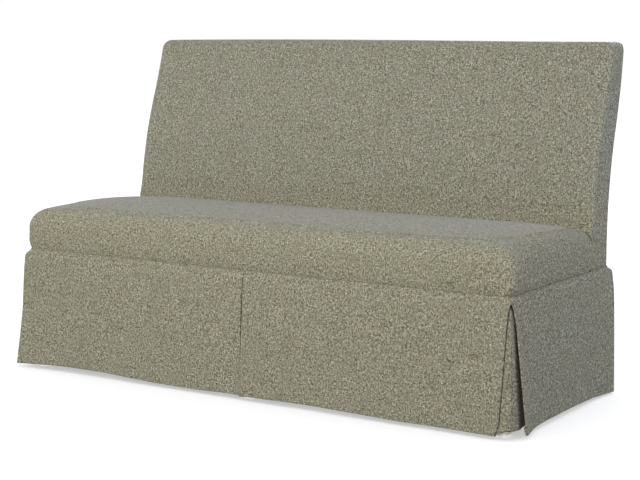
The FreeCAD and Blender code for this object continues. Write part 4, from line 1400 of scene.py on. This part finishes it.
@dataclass
class Skirt:
    """The pleated skirt: six lined panels and the inserts behind its six pleats."""

    seam_height: float = 352.0
    side_inset: float = 8.0
    hem: float = 10.0
    top_out: float = 6.0
    bulge: float = 9.5
    bulge_length: float = 24.0
    slope: float = 0.019
    wave_length: float = 68.0
    ripple_length: float = 31.0
    closed_drop: float = 8.0
    part_length: float = 20.0
    flick_length: float = 32.0
    gape: float = 0.9
    gape_centre: float = 0.40
    gape_reach: float = 0.46
    corner_pull: float = 8.0
    pull_reach: float = 24.0
    roll: float = 3.4
    fold: float = 2.0
    top_fold: float = 1.8
    fold_grows: float = 60.0
    hem_fold: float = 2.4
    turning: float = 16.0
    panel_allowance: float = 32.0
    panel_thickness: float = 1.5
    lining_top: float = 16.0
    lining_hem: float = 12.0
    lining_gap: float = 4.0
    lining_thickness: float = 0.5
    lining_behind: Triple = (2.2, 2.4, 1.6)
    insert_thickness: float = 1.0
    insert_top_out: float = 1.4
    insert_bulge: float = 7.4
    insert_slope: float = 0.011
    insert_hem: float = 18.0
    insert_reach: float = 90.0
    insert_corner: float = 4.5
    insert_top_drop: float = 17.0
    insert_follow: float = 0.27
    insert_press: float = 4.2
    insert_lift: float = 6.0
    lift_from: float = 4.0
    lift_fade: float = 18.0
    insert_drop: float = 330.0
    insert_start: float = 0.8
    follow_past: float = 30.0
    follow_grows: float = 14.0
    follow_widens: float = 0.06
    press_grows: float = 10.0
    press_ends: float = 36.0
    press_fades: float = 14.0
    centre_ripple: float = 1.2
    centre_ripple_width: float = 16.0
    corner_ripple: float = 0.8
    corner_ripple_rate: float = 9.0
    strip_height: float = 11.0
    strip_thickness: float = 0.9
    strip_margin: float = 28.0
    strip_out: float = 3.2
    centre_insert_half: float = 75.0
    panel_columns: int = 150
    fall_rows: int = 70
    lining_rows: int = 40
    lining_columns: int = 90
    insert_rows: int = 44
    insert_columns: int = 40
    corner_columns: int = 26
    half: float = field(init=False)
    front: float = field(init=False)
    rear: float = field(init=False)
    whole: float = field(init=False)

    def __post_init__(self) -> None:
        """Reads the seams' places from the frame, and works out the drop from the seam to the hem."""
        low, high = node_box("skirt_right_panel")
        self.half = node_box("seat_cover")[1][0] - self.side_inset
        self.front = -low[1]
        self.rear = high[1]
        self.whole = self.seam_height - self.hem

    def build(self, finishes: Finishes) -> list[bpy.types.Object]:
        """Builds and dresses the skirt.

        Args:
            finishes: The banquette's finishes.

        Returns:
            Its pieces.
        """
        pieces = []
        for panel in self.panels():
            pieces += [self.panel(panel, finishes), self.lining(panel, finishes)]
        for end in (Side.FRONT, Side.REAR):
            pieces.append(self.centre_insert(end, finishes))
        by_name = {panel.name: panel for panel in self.panels()}
        for end in (Side.FRONT, Side.REAR):
            for hand in (Side.LEFT, Side.RIGHT):
                across, side = by_name[f"{end.value}_{hand.value}"], by_name[hand.value]
                across_end = across.start if hand is Side.LEFT else across.end
                side_end = side.start if end is Side.FRONT else side.end
                pieces.append(self.corner_insert(end, hand, (across_end, side_end), finishes))
        pieces.append(self.strips(finishes))
        return pieces

    def middle(self) -> Array:
        """A point inside the skirt."""
        return np.array([0.0, (self.rear - self.front) / 2, 200.0])

    def strips(self, finishes: Finishes) -> bpy.types.Object:
        """The card strips inside the panels' rolled tops, one thin grid behind each panel.

        Args:
            finishes: The banquette's finishes.

        Returns:
            The strips.
        """
        grids = []
        for panel in self.panels():
            run = np.linspace(panel.start.seam + self.strip_margin, panel.end.seam - self.strip_margin, 12)
            z = self.seam_height - np.array([0.5, self.strip_height])[:, None]
            grids.append(panel.face.points(run + 0.0 * z, np.array(self.strip_out), z))
        quads = [grid_quads(*grid.shape[:2], not facing_out(grid, self.middle())) for grid in grids]
        starts = np.cumsum([0] + [grid.shape[0] * grid.shape[1] for grid in grids])[:-1]
        quads = np.concatenate([part + start for part, start in zip(quads, starts)])
        points = np.concatenate([grid.reshape(-1, 3) for grid in grids])
        obj = mesh_object("skirt_card_strips", points, quads, points[quads][..., [0, 2]] * MM)
        thicken(obj, self.strip_thickness)
        finishes.dress(obj, Slot.BOARD, ["skirt_tack_strips"])
        return obj

    def face(self, side: Side) -> SkirtFace:
        """One side of the skirt.

        Args:
            side: Which side.

        Returns:
            The side's place and directions.
        """
        faces = {
            Side.FRONT: SkirtFace((0.0, -self.front), (0.0, -1.0), (1.0, 0.0)),
            Side.REAR: SkirtFace((0.0, self.rear), (0.0, 1.0), (1.0, 0.0)),
            Side.LEFT: SkirtFace((-self.half, 0.0), (-1.0, 0.0), (0.0, 1.0)),
            Side.RIGHT: SkirtFace((self.half, 0.0), (1.0, 0.0), (0.0, 1.0)),
        }
        return faces[side]

    def panels(self) -> list[SkirtPanel]:
        """The six panels, each with the way its ends hang and where its hem lifts.

        Returns:
            The panels.
        """
        half, front, rear = self.half, -self.front, self.rear
        ahead, behind, left, right = (self.face(side) for side in Side)
        open_out = -24.0
        middle = PanelEnd(-0.4, -9.0, at_corner=False)
        over = PanelEnd(0.4, -8.2, at_corner=False, kick=3.0, kick_from=0.0, kick_power=1.0, kick_reach=220.0)
        left_kick = PanelEnd(
            -half, 26.0, kick=18.0, kick_from=170.0, kick_power=1.25, kick_reach=210.0, pull_drop=16.0
        )
        pleat = PanelEnd(half, -19.0, part=7.0, flick=7.0)
        left_side = PanelEnd(front, open_out, kick=9.0, kick_reach=170.0, pull_drop=16.0)
        side_kick = PanelEnd(
            front, open_out, kick=21.0, kick_power=0.9, kick_reach=170.0, part=13.0, flick=6.0
        )
        rear_end = PanelEnd(rear, -8.0, kick=8.0)
        rear_left = PanelEnd(-half, open_out, kick=5.0)
        rear_right = PanelEnd(half, open_out, kick=7.0)
        left_lifts = ((-570.0, 330.0, 7.0), (0.0, 160.0, 3.0))
        right_lifts = ((-60.0, 330.0, 4.0), (300.0, 240.0, -5.0))
        return [
            SkirtPanel("front_left", ahead, left_kick, middle, left_lifts, 1.4),
            SkirtPanel("front_right", ahead, over, pleat, ((200.0, 320.0, 4.0),), 1.3, 1.7),
            SkirtPanel("left", left, left_side, rear_end, ((20.0, 300.0, 5.0),), 1.2, 0.6),
            SkirtPanel("right", right, side_kick, rear_end, right_lifts, 1.0, 2.4),
            SkirtPanel("rear_left", behind, rear_left, middle, ((-420.0, 300.0, 3.0),), 1.3, 0.9),
            SkirtPanel("rear_right", behind, over, rear_right, ((380.0, 320.0, 4.0),), 1.2),
        ]

    def fall(self, drop: Number) -> Array:
        """How far the skirt stands out at a drop below the seam: a quick swell, then a straight flare."""
        return self.top_out + self.bulge * (1.0 - np.exp(-drop / self.bulge_length)) + self.slope * drop

    def ends(self, panel: SkirtPanel, drop: Array) -> tuple[Array, Array]:
        """The places along the seam of a panel's two ends at each drop."""
        return self.end_run(panel.start, drop, -1.0), self.end_run(panel.end, drop, 1.0)

    def end_run(self, end: PanelEnd, drop: Array, sign: float) -> Array:
        """The place along the seam of a panel's end at each drop.

        The mitre is the skirt's fall down to the closed drop. The part grows as 1 - exp(-d / l) and dies
        away to the hem as a square. The flick is an S-shaped ramp over the last stretch.

        Args:
            end: How the end hangs.
            drop: Drops below the seam.
            sign: 1 at the end of the run, -1 at its start.

        Returns:
            Runs along the seam.
        """
        if not end.at_corner:
            gape = -sign * self.gape * hump(drop / self.whole, self.gape_centre, self.gape_reach)
            return end.seam + (end.hem_out - end.seam) * np.clip(drop / self.whole, 0.0, 1.0) ** 1.3 + gape
        open_drop = drop - self.closed_drop
        mitre = self.fall(np.minimum(drop, self.closed_drop)) * smooth((drop + 2.0) / end.pull_drop)
        away = np.clip(open_drop / (self.whole - self.closed_drop), 0.0, 1.0)
        parted = (1.0 - np.exp(-np.maximum(open_drop, 0.0) / self.part_length)) * (1.0 - away) ** 2
        flicked = smooth((drop - self.whole + self.flick_length) / self.flick_length)
        back = end.part * parted + end.flick * flicked
        return end.seam + sign * (mitre - back + (end.hem_out - self.fall(self.closed_drop)) * away)

    def stand_off(self, panel: SkirtPanel, run: Array, drop: Array, ends: tuple[Array, Array]) -> Array:
        """How far a panel stands out: the skirt's fall, a shallow wave, and a kick near each end.

        At a corner the top of the panel is drawn in to the seam's round.

        Args:
            panel: The panel.
            run: Places along the seam.
            drop: Drops below the seam.
            ends: The panel's two ends at each drop.

        Returns:
            Distances out from the seam.
        """
        out = self.fall(drop)
        depth = np.clip(drop / self.whole, 0.0, 1.0)
        phase = panel.wave_phase
        out = out + panel.wave * depth**1.4 * np.sin(run / self.wave_length + phase)
        out = out + 0.5 * panel.wave * depth * np.sin(run / self.ripple_length + 2.0 * phase + 1.0)
        for end, place in ((panel.start, ends[0]), (panel.end, ends[1])):
            near = np.clip(1.0 - np.abs(run - place) / end.kick_reach, 0.0, 1.0)
            out = out + end.kick * near**2 * self.grown(end, drop) ** end.kick_power
            if end.at_corner:
                close = np.clip(1.0 - np.abs(run - place) / self.pull_reach, 0.0, 1.0)
                out = out - self.corner_pull * close**2 * (1.0 - smooth(drop / end.pull_drop))
        return out

    def grown(self, end: PanelEnd, drop: Array) -> Array:
        """The share of the way from where an end's kick starts to the hem."""
        return np.clip((drop - end.kick_from) / (self.whole - end.kick_from), 0.0, 1.0)

    def lift(self, panel: SkirtPanel, run: Array, drop: Array) -> Array:
        """How far the hem rides up: rounded humps along the panel, growing towards the hem."""
        rise = sum((size * hump(run, centre, reach) for centre, reach, size in panel.lifts), 0.0 * run)
        return rise * np.clip(drop / self.whole, 0.0, 1.0) ** 1.5

    def panel_rows(self) -> tuple[Array, Array]:
        """A panel's rows: over the rolled top, down the fall, round the folded hem and up its turning.

        Returns:
            Each row's drop below the seam, and how far it lies behind the face.
        """
        straight = self.whole - self.hem_fold
        roll = np.radians(np.linspace(150.0, 8.0, 9))
        fall = 1.0 + (straight - 1.0) * np.linspace(0.0, 1.0, self.fall_rows) ** 1.35
        hem = np.radians(np.linspace(0.0, 180.0, 8)[1:])
        up = np.linspace(0.0, 1.0, 4)[1:]
        over_roll = 1.0 - self.roll * np.sin(roll)
        round_hem = straight + self.hem_fold * np.sin(hem)
        drop = np.concatenate([over_roll, fall, round_hem, straight - self.turning * up])
        behind_roll = self.roll - self.roll * np.cos(roll)
        behind_hem = self.hem_fold * (1.0 - np.cos(hem))
        behind = np.concatenate([behind_roll, 0.0 * fall, behind_hem, np.full(up.size, 2.0 * self.hem_fold)])
        return drop[:, None], behind[:, None]

    def folded_end(self, drop: Array) -> tuple[Array, Array, Array]:
        """A panel's turned-in end and its fold, which both grow below the seam.

        Args:
            drop: Drops below the seam.

        Returns:
            The fold's radius, and each column's distance in from the end and behind the face.
        """
        growth = smooth(drop / self.fold_grows)
        radius = self.top_fold + (self.fold - self.top_fold) * growth
        turned = self.turning * (0.3 + 0.7 * growth)
        angle = np.radians(np.linspace(180.0, 0.0, 9))
        back = np.linspace(1.0, 0.0, 5)[:-1]
        inward = np.concatenate([radius + turned * back, radius * (1.0 - np.sin(angle))], axis=1)
        behind = np.concatenate([2.0 * radius + 0.0 * back, radius * (1.0 - np.cos(angle))], axis=1)
        return radius, inward, behind

    def panel(self, panel: SkirtPanel, finishes: Finishes) -> bpy.types.Object:
        """Builds one panel.

        Its columns run from one turned-in end, round its fold and across the face to the other end.

        Args:
            panel: The panel.
            finishes: The banquette's finishes.

        Returns:
            The panel.
        """
        drop, behind = self.panel_rows()
        radius, inward, fold_behind = self.folded_end(drop)
        across = np.linspace(0.0, 1.0, self.panel_columns)[1:-1]
        ends = self.ends(panel, drop)
        middle = (ends[0] + radius) * (1.0 - across) + (ends[1] - radius) * across
        run = np.concatenate([ends[0] + inward, middle, (ends[1] - inward)[:, ::-1]], axis=1)
        fold_back = np.concatenate([fold_behind, 0.0 * middle, fold_behind[:, ::-1]], axis=1)
        main_drop = np.clip(drop, 0.0, self.whole - self.hem_fold) + 0.0 * run
        out = self.stand_off(panel, run, main_drop, ends) - behind - fold_back
        z = self.seam_height - drop + self.lift(panel, run, main_drop)
        points = panel.face.points(run, out, z)
        flat = np.stack([run * panel.face.grain(), z], axis=2)
        obj = grid_object(f"skirt_{panel.name}_cloth", points, panel.face.behind(), flat)
        thicken(obj, self.panel_thickness)
        width = float(ends[1].max() - ends[0].min()) + 2.0 * (self.turning + 2.0 * self.fold)
        finishes.dress(obj, Slot.SKIRT_TWEED, [f"skirt_{panel.name}_panel"])
        return obj

    def lining(self, panel: SkirtPanel, finishes: Finishes) -> bpy.types.Object:
        """Builds the lining behind one panel, between its turned-in ends.

        Args:
            panel: The panel.
            finishes: The banquette's finishes.

        Returns:
            The lining.
        """
        drop = np.linspace(self.lining_top, self.whole - self.lining_hem, self.lining_rows)[:, None]
        ends = self.ends(panel, drop)
        margin = self.fold + self.turning + self.lining_gap
        across = np.linspace(0.0, 1.0, self.lining_columns)
        run = (ends[0] + margin) * (1.0 - across) + (ends[1] - margin) * across
        top, middle, hem = self.lining_behind
        behind = top + middle * smooth((drop - 12.0) / 80.0) + hem * smooth((drop - self.whole + 50.0) / 30.0)
        out = self.stand_off(panel, run, drop + 0.0 * run, ends) - behind
        z = self.seam_height - drop + self.lift(panel, run, drop + 0.0 * run)
        points = panel.face.points(run, out, z)
        flat = np.stack([run, z], axis=2)
        obj = grid_object(f"skirt_{panel.name}_lining_cloth", points, panel.face.behind(), flat)
        thicken(obj, self.lining_thickness)
        width = float((ends[1] - ends[0]).max()) - 2.0 * margin
        finishes.dress(obj, Slot.LINING, [f"skirt_{panel.name}_lining"])
        return obj

    def insert_out(self, drop: Array) -> Array:
        """How far an insert stands out: the panels' swell and flare, less of each, from below the strips."""
        swell = 1.0 - np.exp(-np.maximum(drop - self.strip_height - 1.0, 0.0) / self.bulge_length)
        return self.insert_top_out + self.insert_bulge * swell + self.insert_slope * drop

    def centre_insert(self, side: Side, finishes: Finishes) -> bpy.types.Object:
        """Builds the flat insert behind a centre pleat, with a cosine ripple that grows towards the hem.

        Args:
            side: The front or the rear.
            finishes: The banquette's finishes.

        Returns:
            The insert.
        """
        face = self.face(side)
        drop = np.linspace(self.insert_start, self.seam_height - self.insert_hem, self.insert_rows)[:, None]
        run = np.linspace(-self.centre_insert_half, self.centre_insert_half, self.insert_columns)[None, :]
        ripple = self.centre_ripple * (drop / self.insert_drop) ** 2 * np.cos(run / self.centre_ripple_width)
        out = self.insert_out(drop) + ripple
        points = face.points(run + 0.0 * drop, out, self.seam_height - drop)
        flat = np.stack([run + 0.0 * drop, self.seam_height - drop + 0.0 * run], axis=2)
        obj = grid_object(f"skirt_{side.value}_centre_insert_cloth", points, face.behind(), flat)
        thicken(obj, self.insert_thickness)
        finishes.dress(obj, Slot.SKIRT_TWEED, [f"skirt_{side.value}_centre_insert"])
        return obj

    def follow(self, end: PanelEnd, drop: Array, away: Array) -> Array:
        """How far an insert comes out to its panel.

        It is pressed up to the panel's folded end, and it follows a share of the panel's kick. The share
        grows over a short way from the corner and dies away past the panel's end.

        Args:
            end: The panel's end in front of it.
            drop: Drops below the seam.
            away: Distances from the corner.

        Returns:
            Distances outwards.
        """
        past = np.clip(1.0 - np.maximum(away - self.follow_past, 0.0) / end.kick_reach, 0.0, 1.0)
        depth = np.clip(drop / self.whole, 0.0, 1.0)
        pressed = smooth(away / self.press_grows)
        pressed = pressed * (1.0 - smooth((away - self.press_ends) / self.press_fades))
        kick = self.insert_follow * end.kick * self.grown(end, drop) ** end.kick_power
        grows = smooth(away / (self.follow_grows + self.follow_widens * drop))
        return self.insert_press * depth * pressed + kick * grows * past**2

    def corner_insert(
        self, end: Side, hand: Side, panel_ends: tuple[PanelEnd, PanelEnd], finishes: Finishes
    ) -> bpy.types.Object:
        """Builds the insert folded round one corner: a straight run, a quarter-circle bend and a second run.

        Its hem rides up a little next to the corner.

        Args:
            end: The front or the rear.
            hand: The left or the right.
            panel_ends: The ends of the panels in front of its first and second runs.
            finishes: The banquette's finishes.

        Returns:
            The insert.
        """
        lowest = self.seam_height - self.insert_hem
        drop = np.linspace(self.insert_top_drop, lowest, self.insert_rows)[:, None]
        out = self.insert_out(drop)
        bend = np.radians(np.linspace(0.0, 90.0, 12))[1:-1]
        straight = np.linspace(0.0, 1.0, self.corner_columns)
        radius = self.insert_corner
        first = np.concatenate([straight, np.ones(bend.size + straight.size)])
        second = np.concatenate([np.zeros(straight.size + bend.size), straight])
        turn_x = np.concatenate([np.zeros(straight.size), np.sin(bend), np.ones(straight.size)])
        turn_y = np.concatenate([np.zeros(straight.size), 1.0 - np.cos(bend), np.ones(straight.size)])
        run = self.insert_reach - radius
        to_corner = (run + out) * (1.0 - first)
        from_corner = (run + out) * second
        waves = np.sin(self.corner_ripple_rate * (first + second))
        ripple = self.corner_ripple * (drop / self.insert_drop) ** 2 * waves
        across = self.half - self.insert_reach + (run + out) * first + radius * turn_x + ripple * second
        inward = -out + radius * turn_y + from_corner + ripple * (1.0 - second)
        inward = inward - self.follow(panel_ends[0], drop, to_corner)
        across = across + self.follow(panel_ends[1], drop, from_corner)
        x = across * (1.0 if hand is Side.RIGHT else -1.0)
        y = -self.front + inward if end is Side.FRONT else self.rear - inward
        lift = self.insert_lift * (1.0 - smooth((to_corner - self.lift_from) / self.lift_fade))
        fallen = (drop - self.insert_top_drop) / (drop[-1] - self.insert_top_drop)
        z = self.seam_height - drop + lift * fallen
        length = run * (first + second) + radius * (math.pi / 2) * (turn_x + turn_y) / 2
        flat = np.stack([length + 0.0 * z, z], axis=2)
        name = f"skirt_{end.value}_{hand.value}_insert"
        obj = grid_object(f"{name}_cloth", np.stack([x, y, z], axis=2), self.middle(), flat)
        thicken(obj, self.insert_thickness)
        finishes.dress(obj, Slot.SKIRT_TWEED, [name])
        return obj


@dataclass
class DustCover:
    """The black cloth under the seat, tacked to the rails, cut round the legs and sagging a little."""

    sag: float = 7.0
    gap: float = 1.5
    thickness: float = 0.6
    leg_reach: float = 60.0
    line_pitch: float = 25.0
    legs: tuple[str, ...] = (
        "front_left_leg",
        "front_right_leg",
        "left_back_post",
        "right_back_post",
        "front_centre_leg",
        "rear_centre_leg",
    )

    def build(self, finishes: Finishes) -> bpy.types.Object:
        """Builds and dresses the dust cover.

        It is a grid with lines on the legs' edges, less the cells at the legs. It sags as the product of two
        parabolas, one each way, to the power 0.8.

        Args:
            finishes: The banquette's finishes.

        Returns:
            The cover.
        """
        low, high = node_box("dust_cover")
        feet = [self.foot(leg, low[2]) for leg in self.legs]
        cuts = [np.unique(np.concatenate([foot[:, axis] for foot in feet])) for axis in (0, 1)]
        lines = [self.lines(low[axis], high[axis], cuts[axis]) for axis in (0, 1)]
        x, y = np.meshgrid(*lines, indexing="ij")
        reach = [(high[axis] - low[axis]) / 2 for axis in (0, 1)]
        middle = (low + high) / 2
        bow = (1.0 - ((x - middle[0]) / reach[0]) ** 2) * (1.0 - ((y - middle[1]) / reach[1]) ** 2)
        z = low[2] + self.thickness - self.sag * np.maximum(bow, 0.0) ** 0.8
        points = np.stack([x, y, z], axis=2)
        inside = np.array([middle[0], middle[1], low[2] + 100.0])
        quads = grid_quads(*x.shape, not facing_out(points, inside))
        centres = points.reshape(-1, 3)[quads].mean(axis=1)
        in_foot = [np.all((centres[:, :2] > foot[0]) & (centres[:, :2] < foot[1]), axis=1) for foot in feet]
        quads = quads[~np.any(in_foot, axis=0)]
        used, kept = np.unique(quads, return_inverse=True)
        vertices = points.reshape(-1, 3)[used]
        quads = kept.reshape(-1, 4)
        obj = mesh_object("dust_cover_cloth", vertices, quads, vertices[quads][..., :2] * MM)
        thicken(obj, self.thickness)
        2 * reach[0] * MM
        2 * reach[1] * MM
        finishes.dress(obj, Slot.DUST_CLOTH, ["dust_cover"])
        return obj

    def foot(self, leg: str, height: float) -> Array:
        """A leg's box in plan where it passes the cloth, with a gap.

        Args:
            leg: The leg's node.
            height: The cloth's height.

        Returns:
            The lowest and highest corners.
        """
        vertices = frame["nodes"][leg].data.vertices
        place = np.empty(3 * len(vertices), dtype=np.float32)
        vertices.foreach_get("co", place)
        place = place.reshape(-1, 3).astype(float) / MM
        near = place[np.abs(place[:, 2] - height) < self.leg_reach]
        near = near if len(near) else place
        return np.stack([near[:, :2].min(axis=0) - self.gap, near[:, :2].max(axis=0) + self.gap])

    def lines(self, low: float, high: float, cuts: Array) -> Array:
        """Grid lines at about one pitch, with one on every cut.

        Args:
            low: The first line.
            high: The last line.
            cuts: Where lines have to be.

        Returns:
            The lines' places.
        """
        stops = np.unique(np.concatenate([[low, high], np.clip(cuts, low, high)]))
        counts = np.maximum(1, np.round(np.diff(stops) / self.line_pitch)).astype(int)
        spans = [np.linspace(a, b, n + 1)[:-1] for a, b, n in zip(stops[:-1], stops[1:], counts)]
        return np.concatenate(spans + [[high]])


@dataclass(frozen=True)
class Lamp:
    """A soft rectangular light, with places and sizes in metres."""

    name: str
    place: Triple
    target: Triple
    size: tuple[float, float]
    power: float
    colour: Colour

    def build(self, receivers: bpy.types.Collection) -> None:
        """Adds the light to the scene, turned to its target and out of the camera's sight.

        Args:
            receivers: The collection that says what it doesn't light.
        """
        light = bpy.data.lights.new(self.name, "AREA")
        light.shape = "RECTANGLE"
        light.size, light.size_y = self.size
        light.energy = self.power
        light.color = self.colour
        obj = bpy.data.objects.new(self.name, light)
        obj.location = self.place
        obj.rotation_euler = (Vector(self.target) - Vector(self.place)).to_track_quat("-Z", "Y").to_euler()
        obj.light_linking.receiver_collection = receivers
        obj.visible_camera = False
        bpy.context.scene.collection.objects.link(obj)


@dataclass
class Studio:
    """A pale floor, a white surround, soft lamps and the camera, with sizes in metres."""

    camera_place: Triple = (2.4024, -3.6878, 0.9931)
    azimuth: float = 32.96
    elevation: float = 6.80
    focal_pixels: float = 1540.8
    centre_pixels: tuple[float, float] = (317.66, 215.95)
    sensor: float = 36.0
    view_length: float = 200.0
    floor_size: float = 40.0
    floor_shades: tuple[Colour, Colour] = ((0.75, 0.75, 0.75), (0.77, 0.77, 0.77))
    floor_glow: float = 0.45
    surround: float = 1.0
    surround_colour: Colour = (1.0, 1.01, 1.05)
    lamps: tuple[Lamp, ...] = (
        Lamp("key", (0.0, -5.0, 2.0), (0.0, -0.1, 0.5), (2.6, 1.6), 722.0, (1.0, 0.975, 0.94)),
        Lamp("top", (0.6, -1.4, 3.4), (0.1, 0.1, 0.5), (2.6, 1.6), 16.0, (0.93, 0.96, 0.96)),
        Lamp("side", (5.0, 0.5, 2.3), (0.8, 0.0, 0.35), (2.0, 1.6), 415.0, (0.79, 0.845, 1.0)),
        Lamp("rear", (-0.8, 5.2, 2.3), (0.0, 0.3, 0.4), (2.6, 1.6), 380.0, (0.94, 0.96, 1.0)),
        Lamp("left", (-5.0, -0.6, 1.7), (-0.8, 0.0, 0.35), (2.0, 1.6), 240.0, (0.94, 0.96, 1.0)),
    )

    def build(self) -> None:
        """Builds the floor, the surround, the lamps and the camera."""
        floor = self.floor()
        world = bpy.data.worlds.new("surround")
        bpy.context.scene.world = world
        world.use_nodes = True
        background = world.node_tree.nodes["Background"]
        background.inputs["Color"].default_value = (*self.surround_colour, 1.0)
        background.inputs["Strength"].default_value = self.surround
        receivers = bpy.data.collections.new("lit_by_the_surround_only")
        receivers.objects.link(floor)
        receivers.collection_objects[0].light_linking.link_state = "EXCLUDE"
        for lamp in self.lamps:
            lamp.build(receivers)
        self.camera()
        bpy.context.scene.view_settings.view_transform = "Standard"

    def floor(self) -> bpy.types.Object:
        """A large pale sheet at floor height: a grid of four quads.

        Returns:
            The floor.
        """
        ends = np.linspace(-self.floor_size / 2, self.floor_size / 2, 3) / MM
        x, y = np.meshgrid(ends, ends, indexing="ij")
        points = np.stack([x, y, 0.0 * x], axis=2)
        obj = grid_object("studio_floor", points, np.array([0.0, 0.0, -1000.0]), points[..., :2])
        kit = NodeKit("pale_floor")
        tone = kit.noise(kit.place(Source.OBJECT), 3.0)
        kit.feed(kit.shader, {"Base Color": kit.mix(tone, *self.floor_shades), "Roughness": 0.9})
        kit.feed(kit.shader, {"Specular IOR Level": 0.0, "Emission Color": (*WHITE, 1.0)})
        kit.feed(kit.shader, {"Emission Strength": self.floor_glow})
        obj.data.materials.append(kit.material)
        return obj

    def camera(self) -> None:
        """The camera at the photograph's viewing angle."""
        data = bpy.data.cameras.new("camera")
        data.sensor_width = self.sensor
        data.sensor_fit = "HORIZONTAL"
        data.lens = self.focal_pixels * self.sensor / IMAGE_WIDTH
        data.shift_x = (IMAGE_WIDTH / 2 - self.centre_pixels[0]) / IMAGE_WIDTH
        data.shift_y = (self.centre_pixels[1] - IMAGE_HEIGHT / 2) / IMAGE_WIDTH
        data.clip_end = self.view_length
        obj = bpy.data.objects.new("camera", data)
        obj.location = self.camera_place
        obj.rotation_euler = (math.radians(90.0 - self.elevation), 0.0, math.radians(self.azimuth))
        bpy.context.scene.collection.objects.link(obj)
        bpy.context.scene.camera = obj


def main() -> None:
    """Builds the banquette's covers, skirt and dust cover, dresses its frame and sets up the studio."""
    logging.basicConfig(level=logging.INFO, format="%(name)s: %(message)s")
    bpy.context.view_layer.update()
    Studio().build()
    finishes = Finishes()
    finishes.build()
    finishes.dress_frame()
    pieces = SeatCover().build(finishes)
    pieces += BackCovers().build(finishes)
    pieces += Skirt().build(finishes)
    pieces.append(DustCover().build(finishes))
    log.info("%d new pieces on the frame", len(pieces))
    bpy.context.view_layer.update()


if __name__ == "__main__":
    main()
